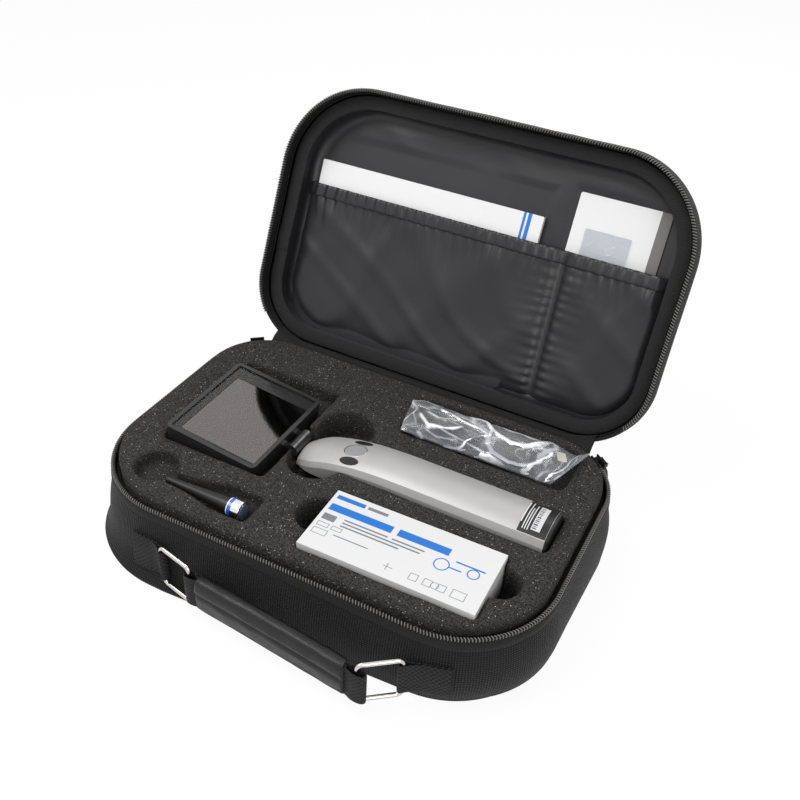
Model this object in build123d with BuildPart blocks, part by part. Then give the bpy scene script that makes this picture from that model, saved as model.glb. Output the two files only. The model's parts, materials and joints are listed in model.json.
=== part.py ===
from build123d import *
import os
from math import cos, radians, sin, sqrt

# Otoscope carry case: a zip-up nylon case, open on its fabric hinge, with a cut foam insert
# that holds a video otoscope, its lens module, a carton of specula and a bagged cable.
# Millimetres. +X is the user's right, +Y points at the hinge, +Z is up.
# The origin is the centre of the base's underside.

os.makedirs("parts", exist_ok=True)

# ---------------------------------------------------------------- driving dimensions
clear = 0.3                  # gap left between soft or separate pieces

# case
case_width = 320.0
case_depth = 203.0
front_radius = 66.0
back_radius = 50.0
base_height = 60.0           # underside to the plane where the zip closes
lid_height = 36.0            # that plane to the top of the closed lid
lid_open_angle = 115.0
shell_wall = 3.0
foot_spread = 3.0            # how far the soft walls stand out at their foot
wall_bulge = 2.83            # how much they bow out further at mid height
bottom_round = 4.5
lid_round = 9.0
zip_band = 10.0              # tape between a shell's edge and the zip plane
tape_thickness = 1.5
tape_inset = 0.3
coil_radius = 1.2
coil_inset = 1.05
coil_end_angle = 62.0        # where the coils end, measured round the back corners
lid_coil_end_angle = 40.0
hinge_overlap = 2.0

# inside the base
liner_inset = shell_wall + clear
liner_wall = 1.5
liner_floor = 2.0
liner_round = 8.0
liner_drop = 6.0             # top of the liner below the zip plane
pad_thickness = 6.0
foam_clear = 0.7
foam_rise = 7.0              # foam stands this far above the zip plane
foam_edge_round = 2.5
finger_sink = 24.0           # depth of the finger holes

# inside the lid
padding_wall = 8.9
padding_panel = 1.5
lining_thickness = 0.8
binding_thickness = 1.6
binding_width = 9.0
lid_lip = 14.2               # zip plane to the padding's edge, clear of what stands above the foam
pocket_height = 113.0        # pocket floor to its open top edge
pocket_depth = 4.6
pocket_sheet = 1.0
pocket_clear = 0.1           # all round, between the pocket and the lining
card_pocket_width = 81.0     # the pocket's part to the right of its divider
hem_width = 10.0
hem_thickness = 1.6

# carry handle
handle_x = 8.0
wire_radius = 1.5
ring_width = 27.0            # between the centre lines of the upright bars
ring_height = 32.0
ring_corner = 3.5
ring_middle = 26.0           # height of the handle's middle above the underside
left_ring_angle = 12.0
right_ring_angle = 38.0
bar_room = 14.0              # the bars' spacing is this much less than the front's straight length
patch_width = 25.0
patch_thickness = 1.6
patch_reach = 4.5            # from the plan outline to the wall's widest, where the patches lie
patch_lap = 10.0             # the patch's folded end, past the bar and back
web_height = 25.0
web_thickness = 1.2
bar_clear = 0.5
grip_room = 63.0             # the grip is this much shorter than the bars' spacing
grip_height = 29.0
grip_thickness = 12.0
grip_skin = 1.6

# zip sliders
slider_angle = 50.0
slider_length = 11.0
slider_height = 7.0
slider_plate = 1.0
slider_gap_out = 0.7
slider_gap_in = 2.9
pull_length = 26.0
pull_width = 8.0
pull_thickness = 1.4
pull_lean = 14.0
pull_pin_radius = 0.8

# video otoscope
scope_y = 2.5
scope_sink = 17.0            # the handle's underside below the foam's top
grip_tube_width = 34.0
scope_end_room = 19.5        # from the case's side to the handle's end
end_cap_length = 1.8
end_cap_crown = 1.1          # how far the cap's face rounds in
tube_side = 17.8             # the handle's straight side, from its underside to the upper bevel
lower_bevel = 3.0
bevel_inset = 2.0
bevel_share = 0.55           # the bevel's part of the rise from the side to the crown
head_length = 82.0           # the handle's head, which slims and dips towards the neck
head_steps = 10
head_bend = 2.8              # how steeply the head's dip sets in at the tip
head_swell = 0.2             # the part of the head over which it widens
head_tip_width = 24.5
head_tip_side = 2.5
head_tip_height = 9.0
tube_wall = 2.0
window_skin = 0.8
window_size = (7.0, 3.2)
window_spread = 10.4         # from the handle's middle line
window_shift = 0.5
pad_size = (8.2, 6.4)
pad_hole_depth = 6.0
pad_reach = 45.0             # from the monitor's hinge pin
pad_angle = 11.0
pad_dip = 1.2                # the pad's seat below the crown
pad_stand = 0.5
pad_thick = 3.4
label_size = (18.5, 29.0)
label_thickness = 0.3
monitor_length = 72.0
monitor_width = 86.0
monitor_thickness = 16.0
monitor_round = 4.0
monitor_tilt = 6.5
monitor_side_room = 35.0     # from the case's side to the monitor's far edge
monitor_y = -1.0
bezel_thickness = 5.0
glass_thickness = 1.2
glass_margin = 3.0
lcd_size = (60.0, 66.0)
lcd_thickness = 2.4
lcd_gap = 0.1                # air between the panel and the cover glass
lcd_offset = (-3.2, 4.5)
rear_wall = 2.0
pin_radius = 1.5
pin_running = 0.05
knuckle_radius = 4.5
knuckle_width = 9.4
ear_width = 5.0
pin_drop = 8.0               # pin axis below the screen's near edge
pin_reach = 6.0              # pin axis beyond the screen's near edge
neck_length = 5.0            # pin axis to the handle's tip
neck_room = (12.0, 16.0, 13.0)           # the foam's room for the neck, left, right and to each side
neck_step = 1.5              # the neck is this much lower than the tip, above and below

# lens module
lens_front_room = 26.0       # from the case's front to the lens module's middle line
lens_reach = 121.5           # from the case's side to the lens face
lens_sink = 4.0              # the middle line below the foam's top
lens_ring_radius = 6.8
lens_ring_length = 6.5
blue_ring_length = 2.2
white_ring_length = 1.0
collar_length = 5.5
lens_face_length = 0.6
arm_length = 44.0
arm_radius = 4.2
arm_tip_radius = 2.4
lens_recess_length = 23.5
lens_recess_end = 7.0        # room beyond the lens face
lens_recess_near = 10.5      # room on the user's side of the middle line
lens_recess_far = 14.5
lens_channel = (61.5, 39.5, 21.5)        # from the lens face back to the channel's three stations
lens_channel_near = (4.5, 6.0, 9.5)      # and its room on either side there
lens_channel_far = (5.5, 8.0, 13.0)
lens_hole_reach = 72.5

# specula carton
carton_size = (117.0, 52.0, 30.0)
carton_side_room = 36.5      # from the case's side to the carton's end
carton_front_room = 17.2
carton_rise = 2.2            # the carton's top above the foam
carton_turn = 1.3
card_board = 0.8
cone_radius = 6.0
cone_tip_radius = 2.2
cone_length = 30.0
cone_wall = 0.45
cone_pitch = 5.0
cones_in_row = 9

# bagged cable
bag_side_room = 28.5         # from the case's side to the bag's recess
bag_back_room = 14.5
bag_recess = (123.0, 45.0)
bag_brim = (134.0, 52.0)
bag_corner = 20.0
bag_rise = 11.0
bag_sink = 19.0
film = 0.6
coil_turn_radius = 15.0
coil_bundle_radius = 4.0
plug_size = (26.0, 12.0, 7.0)

# papers
booklet_height = 116.0
booklet_thickness = 4.0
booklet_side_room = 7.0
booklet_divider_room = 19.0
card_size = (67.0, 145.0, 0.8)
card_side_room = 11.5
sachet_size = (34.0, 30.0, 1.2)

# ---------------------------------------------------------------- derived places
half_width = case_width / 2
half_depth = case_depth / 2
patch_bar_spacing = 2 * (half_width - front_radius) - bar_room   # between the bars that the patches hold
grip_length = patch_bar_spacing - grip_room
foam_top = base_height + foam_rise
base_seam = base_height - zip_band
open_rad = radians(lid_open_angle)
front_centre = (half_width - front_radius, -half_depth + front_radius)
back_centre = (half_width - back_radius, half_depth - back_radius)

hinge_point = Vector(0, half_depth, base_height)
lid_back = Vector(0, cos(open_rad), -sin(open_rad))
lid_up = Vector(0, sin(open_rad), cos(open_rad))
# The lid is drawn as if closed, on this plane: local Z is 0 at the zip and grows into the lid.
lid_plane = Plane(origin=hinge_point - lid_back * half_depth, x_dir=(1, 0, 0), z_dir=lid_up)

def finish(builder, name):
    """Label a finished piece and write it as its own STEP file."""
    builder.part.label = name
    export_step(builder.part, f"parts/{name}.step")


# ---------------------------------------------------------------- shared profiles
def case_outline(inset):
    """The case's plan outline moved in by inset, as a face of the open sketch."""
    x = half_width - inset
    y = half_depth - inset
    front = front_radius - inset
    back = back_radius - inset
    with BuildLine() as outline:
        FilletPolyline((-x, -y), (x, -y), (x, y), (-x, y), radius=[front, front, back, back], close=True)
    make_face(outline.edges())


def outline_ring(outer_inset, inner_inset):
    """The band between two insets of the plan outline."""
    case_outline(outer_inset)
    with BuildSketch(mode=Mode.PRIVATE) as inner:
        case_outline(inner_inset)
    add(inner.sketch, mode=Mode.SUBTRACT)


def hinge_cut(width):
    """Take the straight hinge stretch out of a ring sketch."""
    with Locations((0, half_depth)):
        Rectangle(width, 6 * tape_thickness, mode=Mode.SUBTRACT)


hinge_width = 2 * (half_width - back_radius - hinge_overlap)


def rim_path(inset, end_angle):
    """The rim's centre line from one back corner round the front to the other."""
    bx, by = back_centre
    fx, fy = front_centre
    side = half_width - inset
    back_r = back_radius - inset
    front_r = front_radius - inset
    CenterArc((bx, by), back_r, 0, end_angle)
    Line((side, by), (side, fy))
    CenterArc((fx, fy), front_r, 270, 90)
    Line((fx, -half_depth + inset), (-fx, -half_depth + inset))
    CenterArc((-fx, fy), front_r, 180, 90)
    Line((-side, fy), (-side, by))
    CenterArc((-bx, by), back_r, 180 - end_angle, end_angle)


# ---------------------------------------------------------------- base shell
wall_steps = 5


def wall_rows(wall):
    """Height and outward offset of the soft wall, moved in by wall: a rounded, spread foot and a long bulge."""
    foot = bottom_round - wall / 2
    rows = []
    for step in range(wall_steps):
        turn = radians(90 * step / wall_steps)
        rows.append((wall + foot * (1 - cos(turn)), foot_spread + foot * (sin(turn) - 1)))
    for step in range(wall_steps + 1):
        share = step / wall_steps
        height = wall + foot + share * (base_seam - wall - foot)
        rows.append((height, foot_spread * (1 - share) + wall_bulge * sin(radians(180 * share))))
    return [(height, outward - wall) for height, outward in rows]


with BuildPart() as base_shell:
    for height, outward in wall_rows(0):
        with BuildSketch(Plane.XY.offset(height)):
            case_outline(-outward)
    loft(ruled=True)
    for height, outward in wall_rows(shell_wall):
        with BuildSketch(Plane.XY.offset(height)):
            case_outline(-outward)
    loft(ruled=True, mode=Mode.SUBTRACT)
finish(base_shell, "base_shell")

with BuildPart() as base_liner:
    with BuildSketch(Plane.XY.offset(shell_wall)):
        case_outline(liner_inset)
    extrude(amount=base_height - liner_drop - shell_wall)
    with BuildSketch(Plane.XY.offset(shell_wall + liner_floor)):
        case_outline(liner_inset + liner_wall)
    extrude(amount=base_height, mode=Mode.SUBTRACT)
    fillet(base_liner.edges().group_by(Axis.Z)[0], liner_round)
    fillet(base_liner.edges().filter_by_position(Axis.Z, shell_wall + liner_floor - 0.01,
           shell_wall + liner_floor + 0.01), liner_round - liner_wall)
finish(base_liner, "base_liner")

pad_floor = shell_wall + liner_floor
foam_bottom = pad_floor + pad_thickness

with BuildPart() as foam_base_pad:
    with BuildSketch(Plane.XY.offset(pad_floor)):
        case_outline(liner_inset + liner_wall + liner_round)
    extrude(amount=pad_thickness)
finish(foam_base_pad, "foam_base_pad")

coil_room = 2 * coil_radius + clear / 2         # between a tape's edge and the zip plane

with BuildPart() as base_zip_tape:
    with BuildSketch(Plane.XY.offset(base_seam)):
        outline_ring(tape_inset, tape_inset + tape_thickness)
        hinge_cut(hinge_width)
    extrude(amount=zip_band - coil_room)
finish(base_zip_tape, "base_zip_tape")

base_coil_height = base_height - coil_radius - clear / 2

with BuildPart() as base_zip_coil:
    with BuildLine(Plane.XY.offset(base_coil_height)) as coil_line:
        rim_path(coil_inset, coil_end_angle)
    with BuildSketch(Plane(origin=coil_line.wires()[0] @ 0, z_dir=coil_line.wires()[0] % 0)):
        Circle(coil_radius)
    sweep()
finish(base_zip_coil, "base_zip_coil")

with BuildPart() as hinge_leaf_base:
    with BuildSketch(Plane.XY.offset(base_seam)):
        with Locations((0, half_depth - tape_inset - tape_thickness / 2)):
            Rectangle(hinge_width - 2 * clear, tape_thickness)
    extrude(amount=zip_band - clear)
finish(hinge_leaf_base, "hinge_leaf_base")

# ---------------------------------------------------------------- where the contents sit
tilt = radians(monitor_tilt)
monitor_edge_x = monitor_side_room + monitor_length - half_width
screen_edge_height = foam_top + 1.0
screen_plane = Plane(
    origin=(monitor_edge_x, monitor_y, screen_edge_height),
    x_dir=(-cos(tilt), 0, sin(tilt)),
    z_dir=(sin(tilt), 0, cos(tilt)),
)
pin_x = monitor_edge_x + pin_reach
pin_z = screen_edge_height - pin_drop
scope_bottom = foam_top - scope_sink
scope_top = foam_top + 9.5
scope_end = half_width - scope_end_room
tube_split = foam_top - 1.0
lens_z = foam_top - lens_sink
lens_y = lens_front_room - half_depth
lens_end_x = lens_reach - half_width
carton_top = foam_top + carton_rise
carton_floor = carton_top - carton_size[2]
carton_centre = (half_width - carton_side_room - carton_size[0] / 2,
                 carton_front_room + carton_size[1] / 2 - half_depth)
bag_floor = foam_top - bag_sink
bag_centre = (half_width - bag_side_room - bag_recess[0] / 2, half_depth - bag_back_room - bag_recess[1] / 2)

# ---------------------------------------------------------------- foam insert
monitor_floor = screen_edge_height - monitor_thickness * cos(tilt)
monitor_reach = monitor_length * cos(tilt) + monitor_thickness * sin(tilt)
monitor_step_x = monitor_edge_x - 0.7 * monitor_length


def monitor_underside(x):
    """Height of the tilted monitor's underside above x."""
    return monitor_floor + (monitor_edge_x - x) * sin(tilt) / cos(tilt) - clear


def recess(floor):
    """Cut the open sketch from a recess floor up through the foam's top."""
    extrude(amount=foam_top - floor + 1, mode=Mode.SUBTRACT)


def slot_face(x_low, x_high, y_low, y_high, corner):
    """A rounded rectangle given by its limits."""
    with Locations(((x_low + x_high) / 2, (y_low + y_high) / 2)):
        RectangleRounded(x_high - x_low, y_high - y_low, corner)


finger_depth = foam_top - finger_sink
carton_left = carton_centre[0] - carton_size[0] / 2
carton_right = carton_centre[0] + carton_size[0] / 2
finger_holes = [
    (pin_x + 24.5, scope_y + 23.0, 19.5),
    (pin_x + 22.5, scope_y - 14.5, 19.5),
    (carton_left - 1.5, carton_centre[1] + 2.4, 15.0),
    (carton_right + 2.5, carton_centre[1] + 8.4, 13.0),
    ]
lens_finger_hole = (lens_end_x - lens_hole_reach, lens_y + 4.5, 14.5)
lens_floor = lens_z - lens_ring_radius - clear
monitor_low_y = monitor_y - monitor_width / 2
monitor_high_y = monitor_y + monitor_width / 2
monitor_back_room = 16.0
monitor_swing = sqrt(pin_reach**2 + (monitor_thickness - pin_drop + 0.5) ** 2) + 2 * clear
tube_half = grip_tube_width / 2

with BuildPart() as foam_insert:
    with BuildSketch(Plane.XY.offset(foam_bottom)):
        case_outline(liner_inset + liner_wall + foam_clear)
    extrude(amount=foam_top - foam_bottom)
    fillet(foam_insert.edges().group_by(Axis.Z)[-1], foam_edge_round)
    # monitor: deep beside the neck, with a step that carries the raised side
    with BuildSketch(Plane.XY.offset(monitor_floor - clear)):
        slot_face(monitor_step_x, monitor_edge_x + 8.0, monitor_low_y - 1.5, scope_y + 11.5, 3.0)
        slot_face(monitor_step_x, pin_x + clear, monitor_low_y - 1.5, monitor_high_y + monitor_back_room, 3.0)
    recess(monitor_floor - clear)
    # a hollow under the monitor's hinged edge, where its corner swings through
    with BuildSketch(Plane.XY.offset(pin_z - monitor_swing)):
        slot_face(pin_x - monitor_swing, pin_x + clear, monitor_low_y - 1.5, monitor_high_y + 1.5, 1.5)
    recess(pin_z - monitor_swing)
    with BuildSketch(Plane.XY.offset(monitor_underside(monitor_step_x))):
        slot_face(monitor_edge_x - monitor_reach - 1.0, monitor_edge_x - 12.0,
                  monitor_low_y - 1.5, monitor_high_y + monitor_back_room, 5.0)
    recess(monitor_underside(monitor_step_x))
    # neck and handle
    with BuildSketch(Plane.XY.offset(scope_bottom - clear)):
        slot_face(pin_x - neck_room[0], pin_x + neck_room[1], scope_y - neck_room[2], scope_y + neck_room[2], 3.0)
        slot_face(pin_x + 6.0, scope_end + 1.0, scope_y - tube_half - 1.0, scope_y + tube_half + 1.0, 2.0)
    recess(scope_bottom - clear)
    # finger holes
    with BuildSketch(Plane.XY.offset(finger_depth)):
        for hole_x, hole_y, hole_radius in finger_holes:
            with Locations((hole_x, hole_y)):
                Circle(hole_radius)
    recess(finger_depth)
    # lens module: wide for its rings, a channel for the arm and a round hole at its tip
    with BuildSketch(Plane.XY.offset(lens_floor)):
        slot_face(lens_end_x - lens_recess_length, lens_end_x + lens_recess_end, lens_y - lens_recess_near,
                  lens_y + lens_recess_far, 3.0)
        near_side = [(lens_end_x - reach, lens_y - room) for reach, room in zip(lens_channel, lens_channel_near)]
        far_side = [(lens_end_x - reach, lens_y + room) for reach, room in zip(lens_channel, lens_channel_far)]
        with BuildLine():
            Polyline(*near_side, *reversed(far_side), close=True)
        make_face()
        with Locations(lens_finger_hole[:2]):
            Circle(lens_finger_hole[2])
    recess(lens_floor)
    # carton and cable bag
    with BuildSketch(Plane.XY.offset(carton_floor - clear)):
        with Locations(Location((carton_centre[0], carton_centre[1], 0), (0, 0, carton_turn))):
            RectangleRounded(carton_size[0] + 2.0, carton_size[1] + 2.0, 2.0)
    recess(carton_floor - clear)
    with BuildSketch(Plane.XY.offset(bag_floor - clear)):
        with Locations(bag_centre):
            RectangleRounded(bag_recess[0], bag_recess[1], 7.0)
    recess(bag_floor - clear)
finish(foam_insert, "foam_insert")

# ---------------------------------------------------------------- lid
with BuildPart() as lid_shell:
    with BuildSketch(lid_plane.offset(zip_band)):
        case_outline(0)
    extrude(amount=lid_height - zip_band)
    fillet(lid_shell.faces().sort_by(Axis(lid_plane.origin, lid_up))[-1].edges(), lid_round)
    with BuildSketch(lid_plane.offset(zip_band)):
        case_outline(shell_wall)
    extrude(amount=lid_height - zip_band - shell_wall, mode=Mode.SUBTRACT)
    fillet(lid_shell.faces().filter_by(lid_plane).sort_by(Axis(lid_plane.origin, lid_up))[-2].edges(),
           lid_round - shell_wall)
finish(lid_shell, "lid_shell")

padding_top = lid_height - shell_wall
lining_back = padding_top - padding_panel
lining_inset = shell_wall + clear + padding_wall

with BuildPart() as lid_padding:
    with BuildSketch(lid_plane.offset(lid_lip)):
        case_outline(shell_wall + clear)
    extrude(amount=padding_top - lid_lip)
    fillet(lid_padding.faces().sort_by(Axis(lid_plane.origin, lid_up))[-1].edges(), lid_round - shell_wall)
    with BuildSketch(lid_plane.offset(lid_lip)):
        case_outline(lining_inset)
    extrude(amount=lining_back - lid_lip, mode=Mode.SUBTRACT)
finish(lid_padding, "lid_padding")

with BuildPart() as lid_lining:
    with BuildSketch(lid_plane.offset(lid_lip)):
        case_outline(lining_inset)
    extrude(amount=lining_back - lid_lip)
    with BuildSketch(lid_plane.offset(lid_lip)):
        case_outline(lining_inset + lining_thickness)
    extrude(amount=lining_back - lining_thickness - lid_lip, mode=Mode.SUBTRACT)
finish(lid_lining, "lid_lining")

with BuildPart() as lid_binding:
    with BuildSketch(lid_plane.offset(lid_lip - binding_thickness)):
        outline_ring(lining_inset + lining_thickness - binding_width, lining_inset + lining_thickness)
    extrude(amount=binding_thickness)
finish(lid_binding, "lid_binding")

with BuildPart() as lid_zip_tape:
    with BuildSketch(lid_plane.offset(coil_room)):
        outline_ring(tape_inset, tape_inset + tape_thickness)
        hinge_cut(hinge_width)
    extrude(amount=zip_band - coil_room)
finish(lid_zip_tape, "lid_zip_tape")

with BuildPart() as lid_zip_coil:
    with BuildLine(lid_plane.offset(coil_radius + clear / 2)) as lid_coil_line:
        rim_path(coil_inset, lid_coil_end_angle)
    with BuildSketch(Plane(origin=lid_coil_line.wires()[0] @ 0, z_dir=lid_coil_line.wires()[0] % 0)):
        Circle(coil_radius)
    sweep()
finish(lid_zip_coil, "lid_zip_coil")

with BuildPart() as hinge_leaf_lid:
    with BuildSketch(lid_plane.offset(clear)):
        with Locations((0, half_depth - tape_inset - tape_thickness / 2)):
            Rectangle(hinge_width - 2 * clear, tape_thickness)
    extrude(amount=zip_band - clear)
finish(hinge_leaf_lid, "hinge_leaf_lid")

# pocket: a sheet that stands off the lining, closed at its sides, floor and divider
lining_face = lining_back - lining_thickness
pocket_back = half_depth - lining_inset - lining_thickness
pocket_mouth = pocket_back - pocket_height
pocket_side = half_width - lining_inset - lining_thickness
pocket_divider_x = pocket_side - card_pocket_width
pocket_face = lining_face - pocket_depth

with BuildPart() as lid_pocket:
    with BuildSketch(lid_plane.offset(lining_face)):
        case_outline(lining_inset + lining_thickness + pocket_clear)
        with Locations((0, pocket_mouth - half_depth)):
            Rectangle(case_width, case_depth, mode=Mode.SUBTRACT)
    extrude(amount=-(pocket_depth + pocket_sheet))
    with BuildSketch(lid_plane.offset(lining_face)):
        case_outline(lining_inset + lining_thickness + pocket_sheet)
        with Locations((pocket_divider_x, 0)):
            Rectangle(pocket_sheet, case_depth, mode=Mode.SUBTRACT)
    extrude(amount=-pocket_depth, mode=Mode.SUBTRACT)
finish(lid_pocket, "lid_pocket")

with BuildPart() as pocket_hem:
    with BuildSketch(lid_plane.offset(pocket_face - pocket_sheet)):
        with Locations((0, pocket_mouth + hem_width / 2)):
            Rectangle(2 * (pocket_side - pocket_sheet), hem_width)
    extrude(amount=-hem_thickness)
finish(pocket_hem, "pocket_hem")

# ---------------------------------------------------------------- papers in the pocket
paper_gap = 0.2
booklet_back = lining_face - paper_gap
pocket_corner = back_radius - lining_inset - lining_thickness - pocket_sheet
pocket_inner = pocket_side - pocket_sheet
booklet_left = booklet_side_room - pocket_inner
booklet_width = pocket_divider_x - booklet_divider_room - booklet_left
booklet_x = booklet_left + booklet_width / 2
card_x = pocket_inner - card_side_room - card_size[0] / 2


def paper_low(x, width):
    """Local Y of a sheet's lower edge, seated with its outer corner on the pocket's round corner."""
    corner_x = abs(x) + width / 2 - back_centre[0]
    return back_centre[1] + sqrt((pocket_corner - paper_gap) ** 2 - corner_x**2)


booklet_low = paper_low(booklet_x, booklet_width)
card_low = paper_low(card_x, card_size[0])

with BuildPart() as booklet:
    with BuildSketch(lid_plane.offset(booklet_back)):
        with Locations((booklet_x, booklet_low - booklet_height / 2)):
            RectangleRounded(booklet_width, booklet_height, 1.0)
    extrude(amount=-booklet_thickness)
finish(booklet, "booklet")

with BuildPart() as card:
    with BuildSketch(lid_plane.offset(booklet_back)):
        with Locations((card_x, card_low - card_size[1] / 2)):
            RectangleRounded(card_size[0], card_size[1], 1.5)
    extrude(amount=-card_size[2])
finish(card, "card")

sachet_back = booklet_back - card_size[2] - clear

with BuildPart() as card_sachet:
    with BuildSketch(lid_plane.offset(sachet_back)):
        with Locations((card_x - 6.0, pocket_mouth - 4.0)):
            RectangleRounded(sachet_size[0], sachet_size[1], 1.0)
    extrude(amount=-sachet_size[2])
finish(card_sachet, "card_sachet")

# ---------------------------------------------------------------- carry handle
patch_face = half_depth + patch_reach
bar_out = patch_face + patch_thickness + web_thickness + bar_clear + wire_radius
loop_inner = wire_radius + bar_clear
loop_outer = loop_inner + web_thickness
left_bar = Vector(handle_x - patch_bar_spacing / 2, -bar_out)
right_bar = Vector(handle_x + patch_bar_spacing / 2, -bar_out)


def sewn_patch(bar, side):
    """A webbing patch sewn to the wall, folded round a ring's upright bar. side is -1 left, 1 right."""
    fold = web_thickness + patch_thickness / 2
    with BuildSketch(Plane.XY.offset(ring_middle - web_height / 2)) as webbing:
        outline_ring(-patch_reach - patch_thickness, -patch_reach)
        with Locations((bar.X + side * (patch_width / 2 + 2.0), -half_depth)):
            Rectangle(patch_width, half_depth, mode=Mode.INTERSECT)
        with Locations((bar.X + side * 2.0, -patch_face - patch_thickness - web_thickness + fold / 2)):
            Rectangle(patch_lap, fold)
        with Locations((bar.X, bar.Y)):
            Circle(loop_outer)
            Circle(loop_inner, mode=Mode.SUBTRACT)
    extrude(webbing.sketch, amount=web_height)


def ring_frame(bar, direction):
    """A rectangular wire ring that hangs from a patch bar and reaches along direction."""
    ring_plane = Plane(origin=(bar.X, bar.Y, ring_middle), x_dir=direction, z_dir=direction.cross(Vector(0, 0, 1)))
    with BuildLine(ring_plane) as wire_line:
        half = ring_height / 2
        FilletPolyline((0, -half), (ring_width, -half), (ring_width, half), (0, half), radius=ring_corner, close=True)
    start = wire_line.wires()[0]
    with BuildSketch(Plane(origin=start @ 0, z_dir=start % 0)) as wire_section:
        Circle(wire_radius)
    sweep(wire_section.sketch, path=start)


left_rad = radians(left_ring_angle)
right_rad = radians(right_ring_angle)
left_reach = Vector(cos(left_rad), -sin(left_rad), 0)
right_reach = Vector(-cos(right_rad), -sin(right_rad), 0)

with BuildPart() as patch_left:
    sewn_patch(left_bar, -1)
finish(patch_left, "patch_left")

with BuildPart() as patch_right:
    sewn_patch(right_bar, 1)
finish(patch_right, "patch_right")

with BuildPart() as ring_left:
    ring_frame(left_bar, left_reach)
finish(ring_left, "ring_left")

with BuildPart() as ring_right:
    ring_frame(right_bar, right_reach)
finish(ring_right, "ring_right")

left_grip_bar = left_bar + left_reach * ring_width
right_grip_bar = right_bar + right_reach * ring_width
grip_line = right_grip_bar - left_grip_bar
grip_dir = grip_line.normalized()
grip_slack = 0.5 * (grip_line.length - grip_length)
grip_mid = left_grip_bar + grip_dir * (grip_slack + grip_length / 2)
# the loops hang low on the bars, just over the rings' lower sides
grip_drop = ring_height / 2 - wire_radius - web_height / 2 - clear
# local X runs along the grip, local Y away from the case
grip_plane = Plane(origin=(grip_mid.X, grip_mid.Y, ring_middle - grip_drop), x_dir=grip_dir, z_dir=(0, 0, -1))
grip_end = grip_length / 2
grip_section = Plane(origin=grip_plane.origin - grip_dir * grip_end, x_dir=grip_plane.y_dir, z_dir=grip_dir)
core_thickness = grip_thickness - 2 * grip_skin - 2 * clear
core_height = grip_height - 2 * grip_skin - 2 * clear

with BuildPart() as grip_core:
    with BuildSketch(grip_section):
        RectangleRounded(core_thickness, core_height, core_thickness / 2 - 0.2)
    extrude(amount=grip_length)
finish(grip_core, "grip_core")

with BuildPart() as grip_cover:
    with BuildSketch(grip_section):
        RectangleRounded(grip_thickness, grip_height, grip_thickness / 2 - 0.2)
        RectangleRounded(core_thickness + 2 * clear, core_height + 2 * clear, core_thickness / 2 + 0.05,
                         mode=Mode.SUBTRACT)
    extrude(amount=grip_length)
finish(grip_cover, "grip_cover")


def grip_loop(near, far, half_room, side):
    """A webbing loop at a grip end. near and far bound the room for the bar, along the grip."""
    middle = (near + far) / 2
    room = far - near
    with BuildSketch(grip_plane.offset(-web_height / 2)) as webbing:
        with Locations((side * middle, 0)):
            SlotOverall(room + 2 * web_thickness, 2 * (half_room + web_thickness))
        with Locations((side * (grip_end + near) / 2, 0)):
            Rectangle(near - grip_end, 2 * web_thickness)
        with Locations((side * middle, 0)):
            SlotOverall(room, 2 * half_room, mode=Mode.SUBTRACT)
    extrude(webbing.sketch, amount=web_height)


bar_seat = grip_end + grip_slack                # bars at rest, from the grip's middle
left_room = (bar_seat - 3.0, bar_seat + 5.6)
right_room = (bar_seat - 5.8, bar_seat + 11.2)

with BuildPart() as grip_loop_left:
    grip_loop(left_room[0], left_room[1], wire_radius + 1.2, -1)
finish(grip_loop_left, "grip_loop_left")

with BuildPart() as grip_loop_right:
    grip_loop(right_room[0], right_room[1], wire_radius + 3.1, 1)
finish(grip_loop_right, "grip_loop_right")

# ---------------------------------------------------------------- zip sliders and pulls
slide_rad = radians(slider_angle)
slider_low = base_height - slider_height / 2
outer_plate = slider_gap_out + slider_plate / 2
inner_plate = -slider_gap_in - slider_plate / 2
bridge_low = base_height + clear / 2
bridge_thickness = 1.0
bail_reach = 3.4


def corner_frame(side, height):
    """A plane at the slider's place: local X outwards from the case, local Y towards the hinge."""
    outward = Vector(side * cos(slide_rad), sin(slide_rad), 0)
    rim = Vector(side * back_centre[0], back_centre[1], height) + outward * back_radius
    return Plane(origin=rim, x_dir=outward, z_dir=(0, 0, side))


def slider(side):
    """Two plates either side of the coil, joined by a bridge at the end that parts the coils."""
    with BuildSketch(corner_frame(side, slider_low)) as plates:
        for place in (outer_plate, inner_plate):
            with Locations((place, 0)):
                Rectangle(slider_plate, slider_length)
    extrude(plates.sketch, amount=slider_height, dir=(0, 0, 1))
    with BuildSketch(corner_frame(side, bridge_low)) as bridge:
        with Locations(((outer_plate + inner_plate) / 2, slider_length / 2 - 2.0)):
            Rectangle(outer_plate - inner_plate + slider_plate, 4.0)
    extrude(bridge.sketch, amount=bridge_thickness, dir=(0, 0, 1))
    # the bail that the pull hangs on: two ears and a pin
    with BuildSketch(corner_frame(side, base_height - 1.5)) as ears:
        for place in (-3.2, 3.2):
            with Locations((outer_plate + bail_reach / 2, place)):
                Rectangle(bail_reach, 1.2)
    extrude(ears.sketch, amount=3.0, dir=(0, 0, 1))
    pin_plane = corner_frame(side, base_height)
    pin_start = pin_plane.origin + pin_plane.x_dir * (outer_plate + bail_reach - 1.2) - pin_plane.y_dir * 3.2
    with BuildSketch(Plane(origin=pin_start, z_dir=pin_plane.y_dir)) as pin:
        Circle(pull_pin_radius)
    extrude(pin.sketch, amount=6.4)


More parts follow.
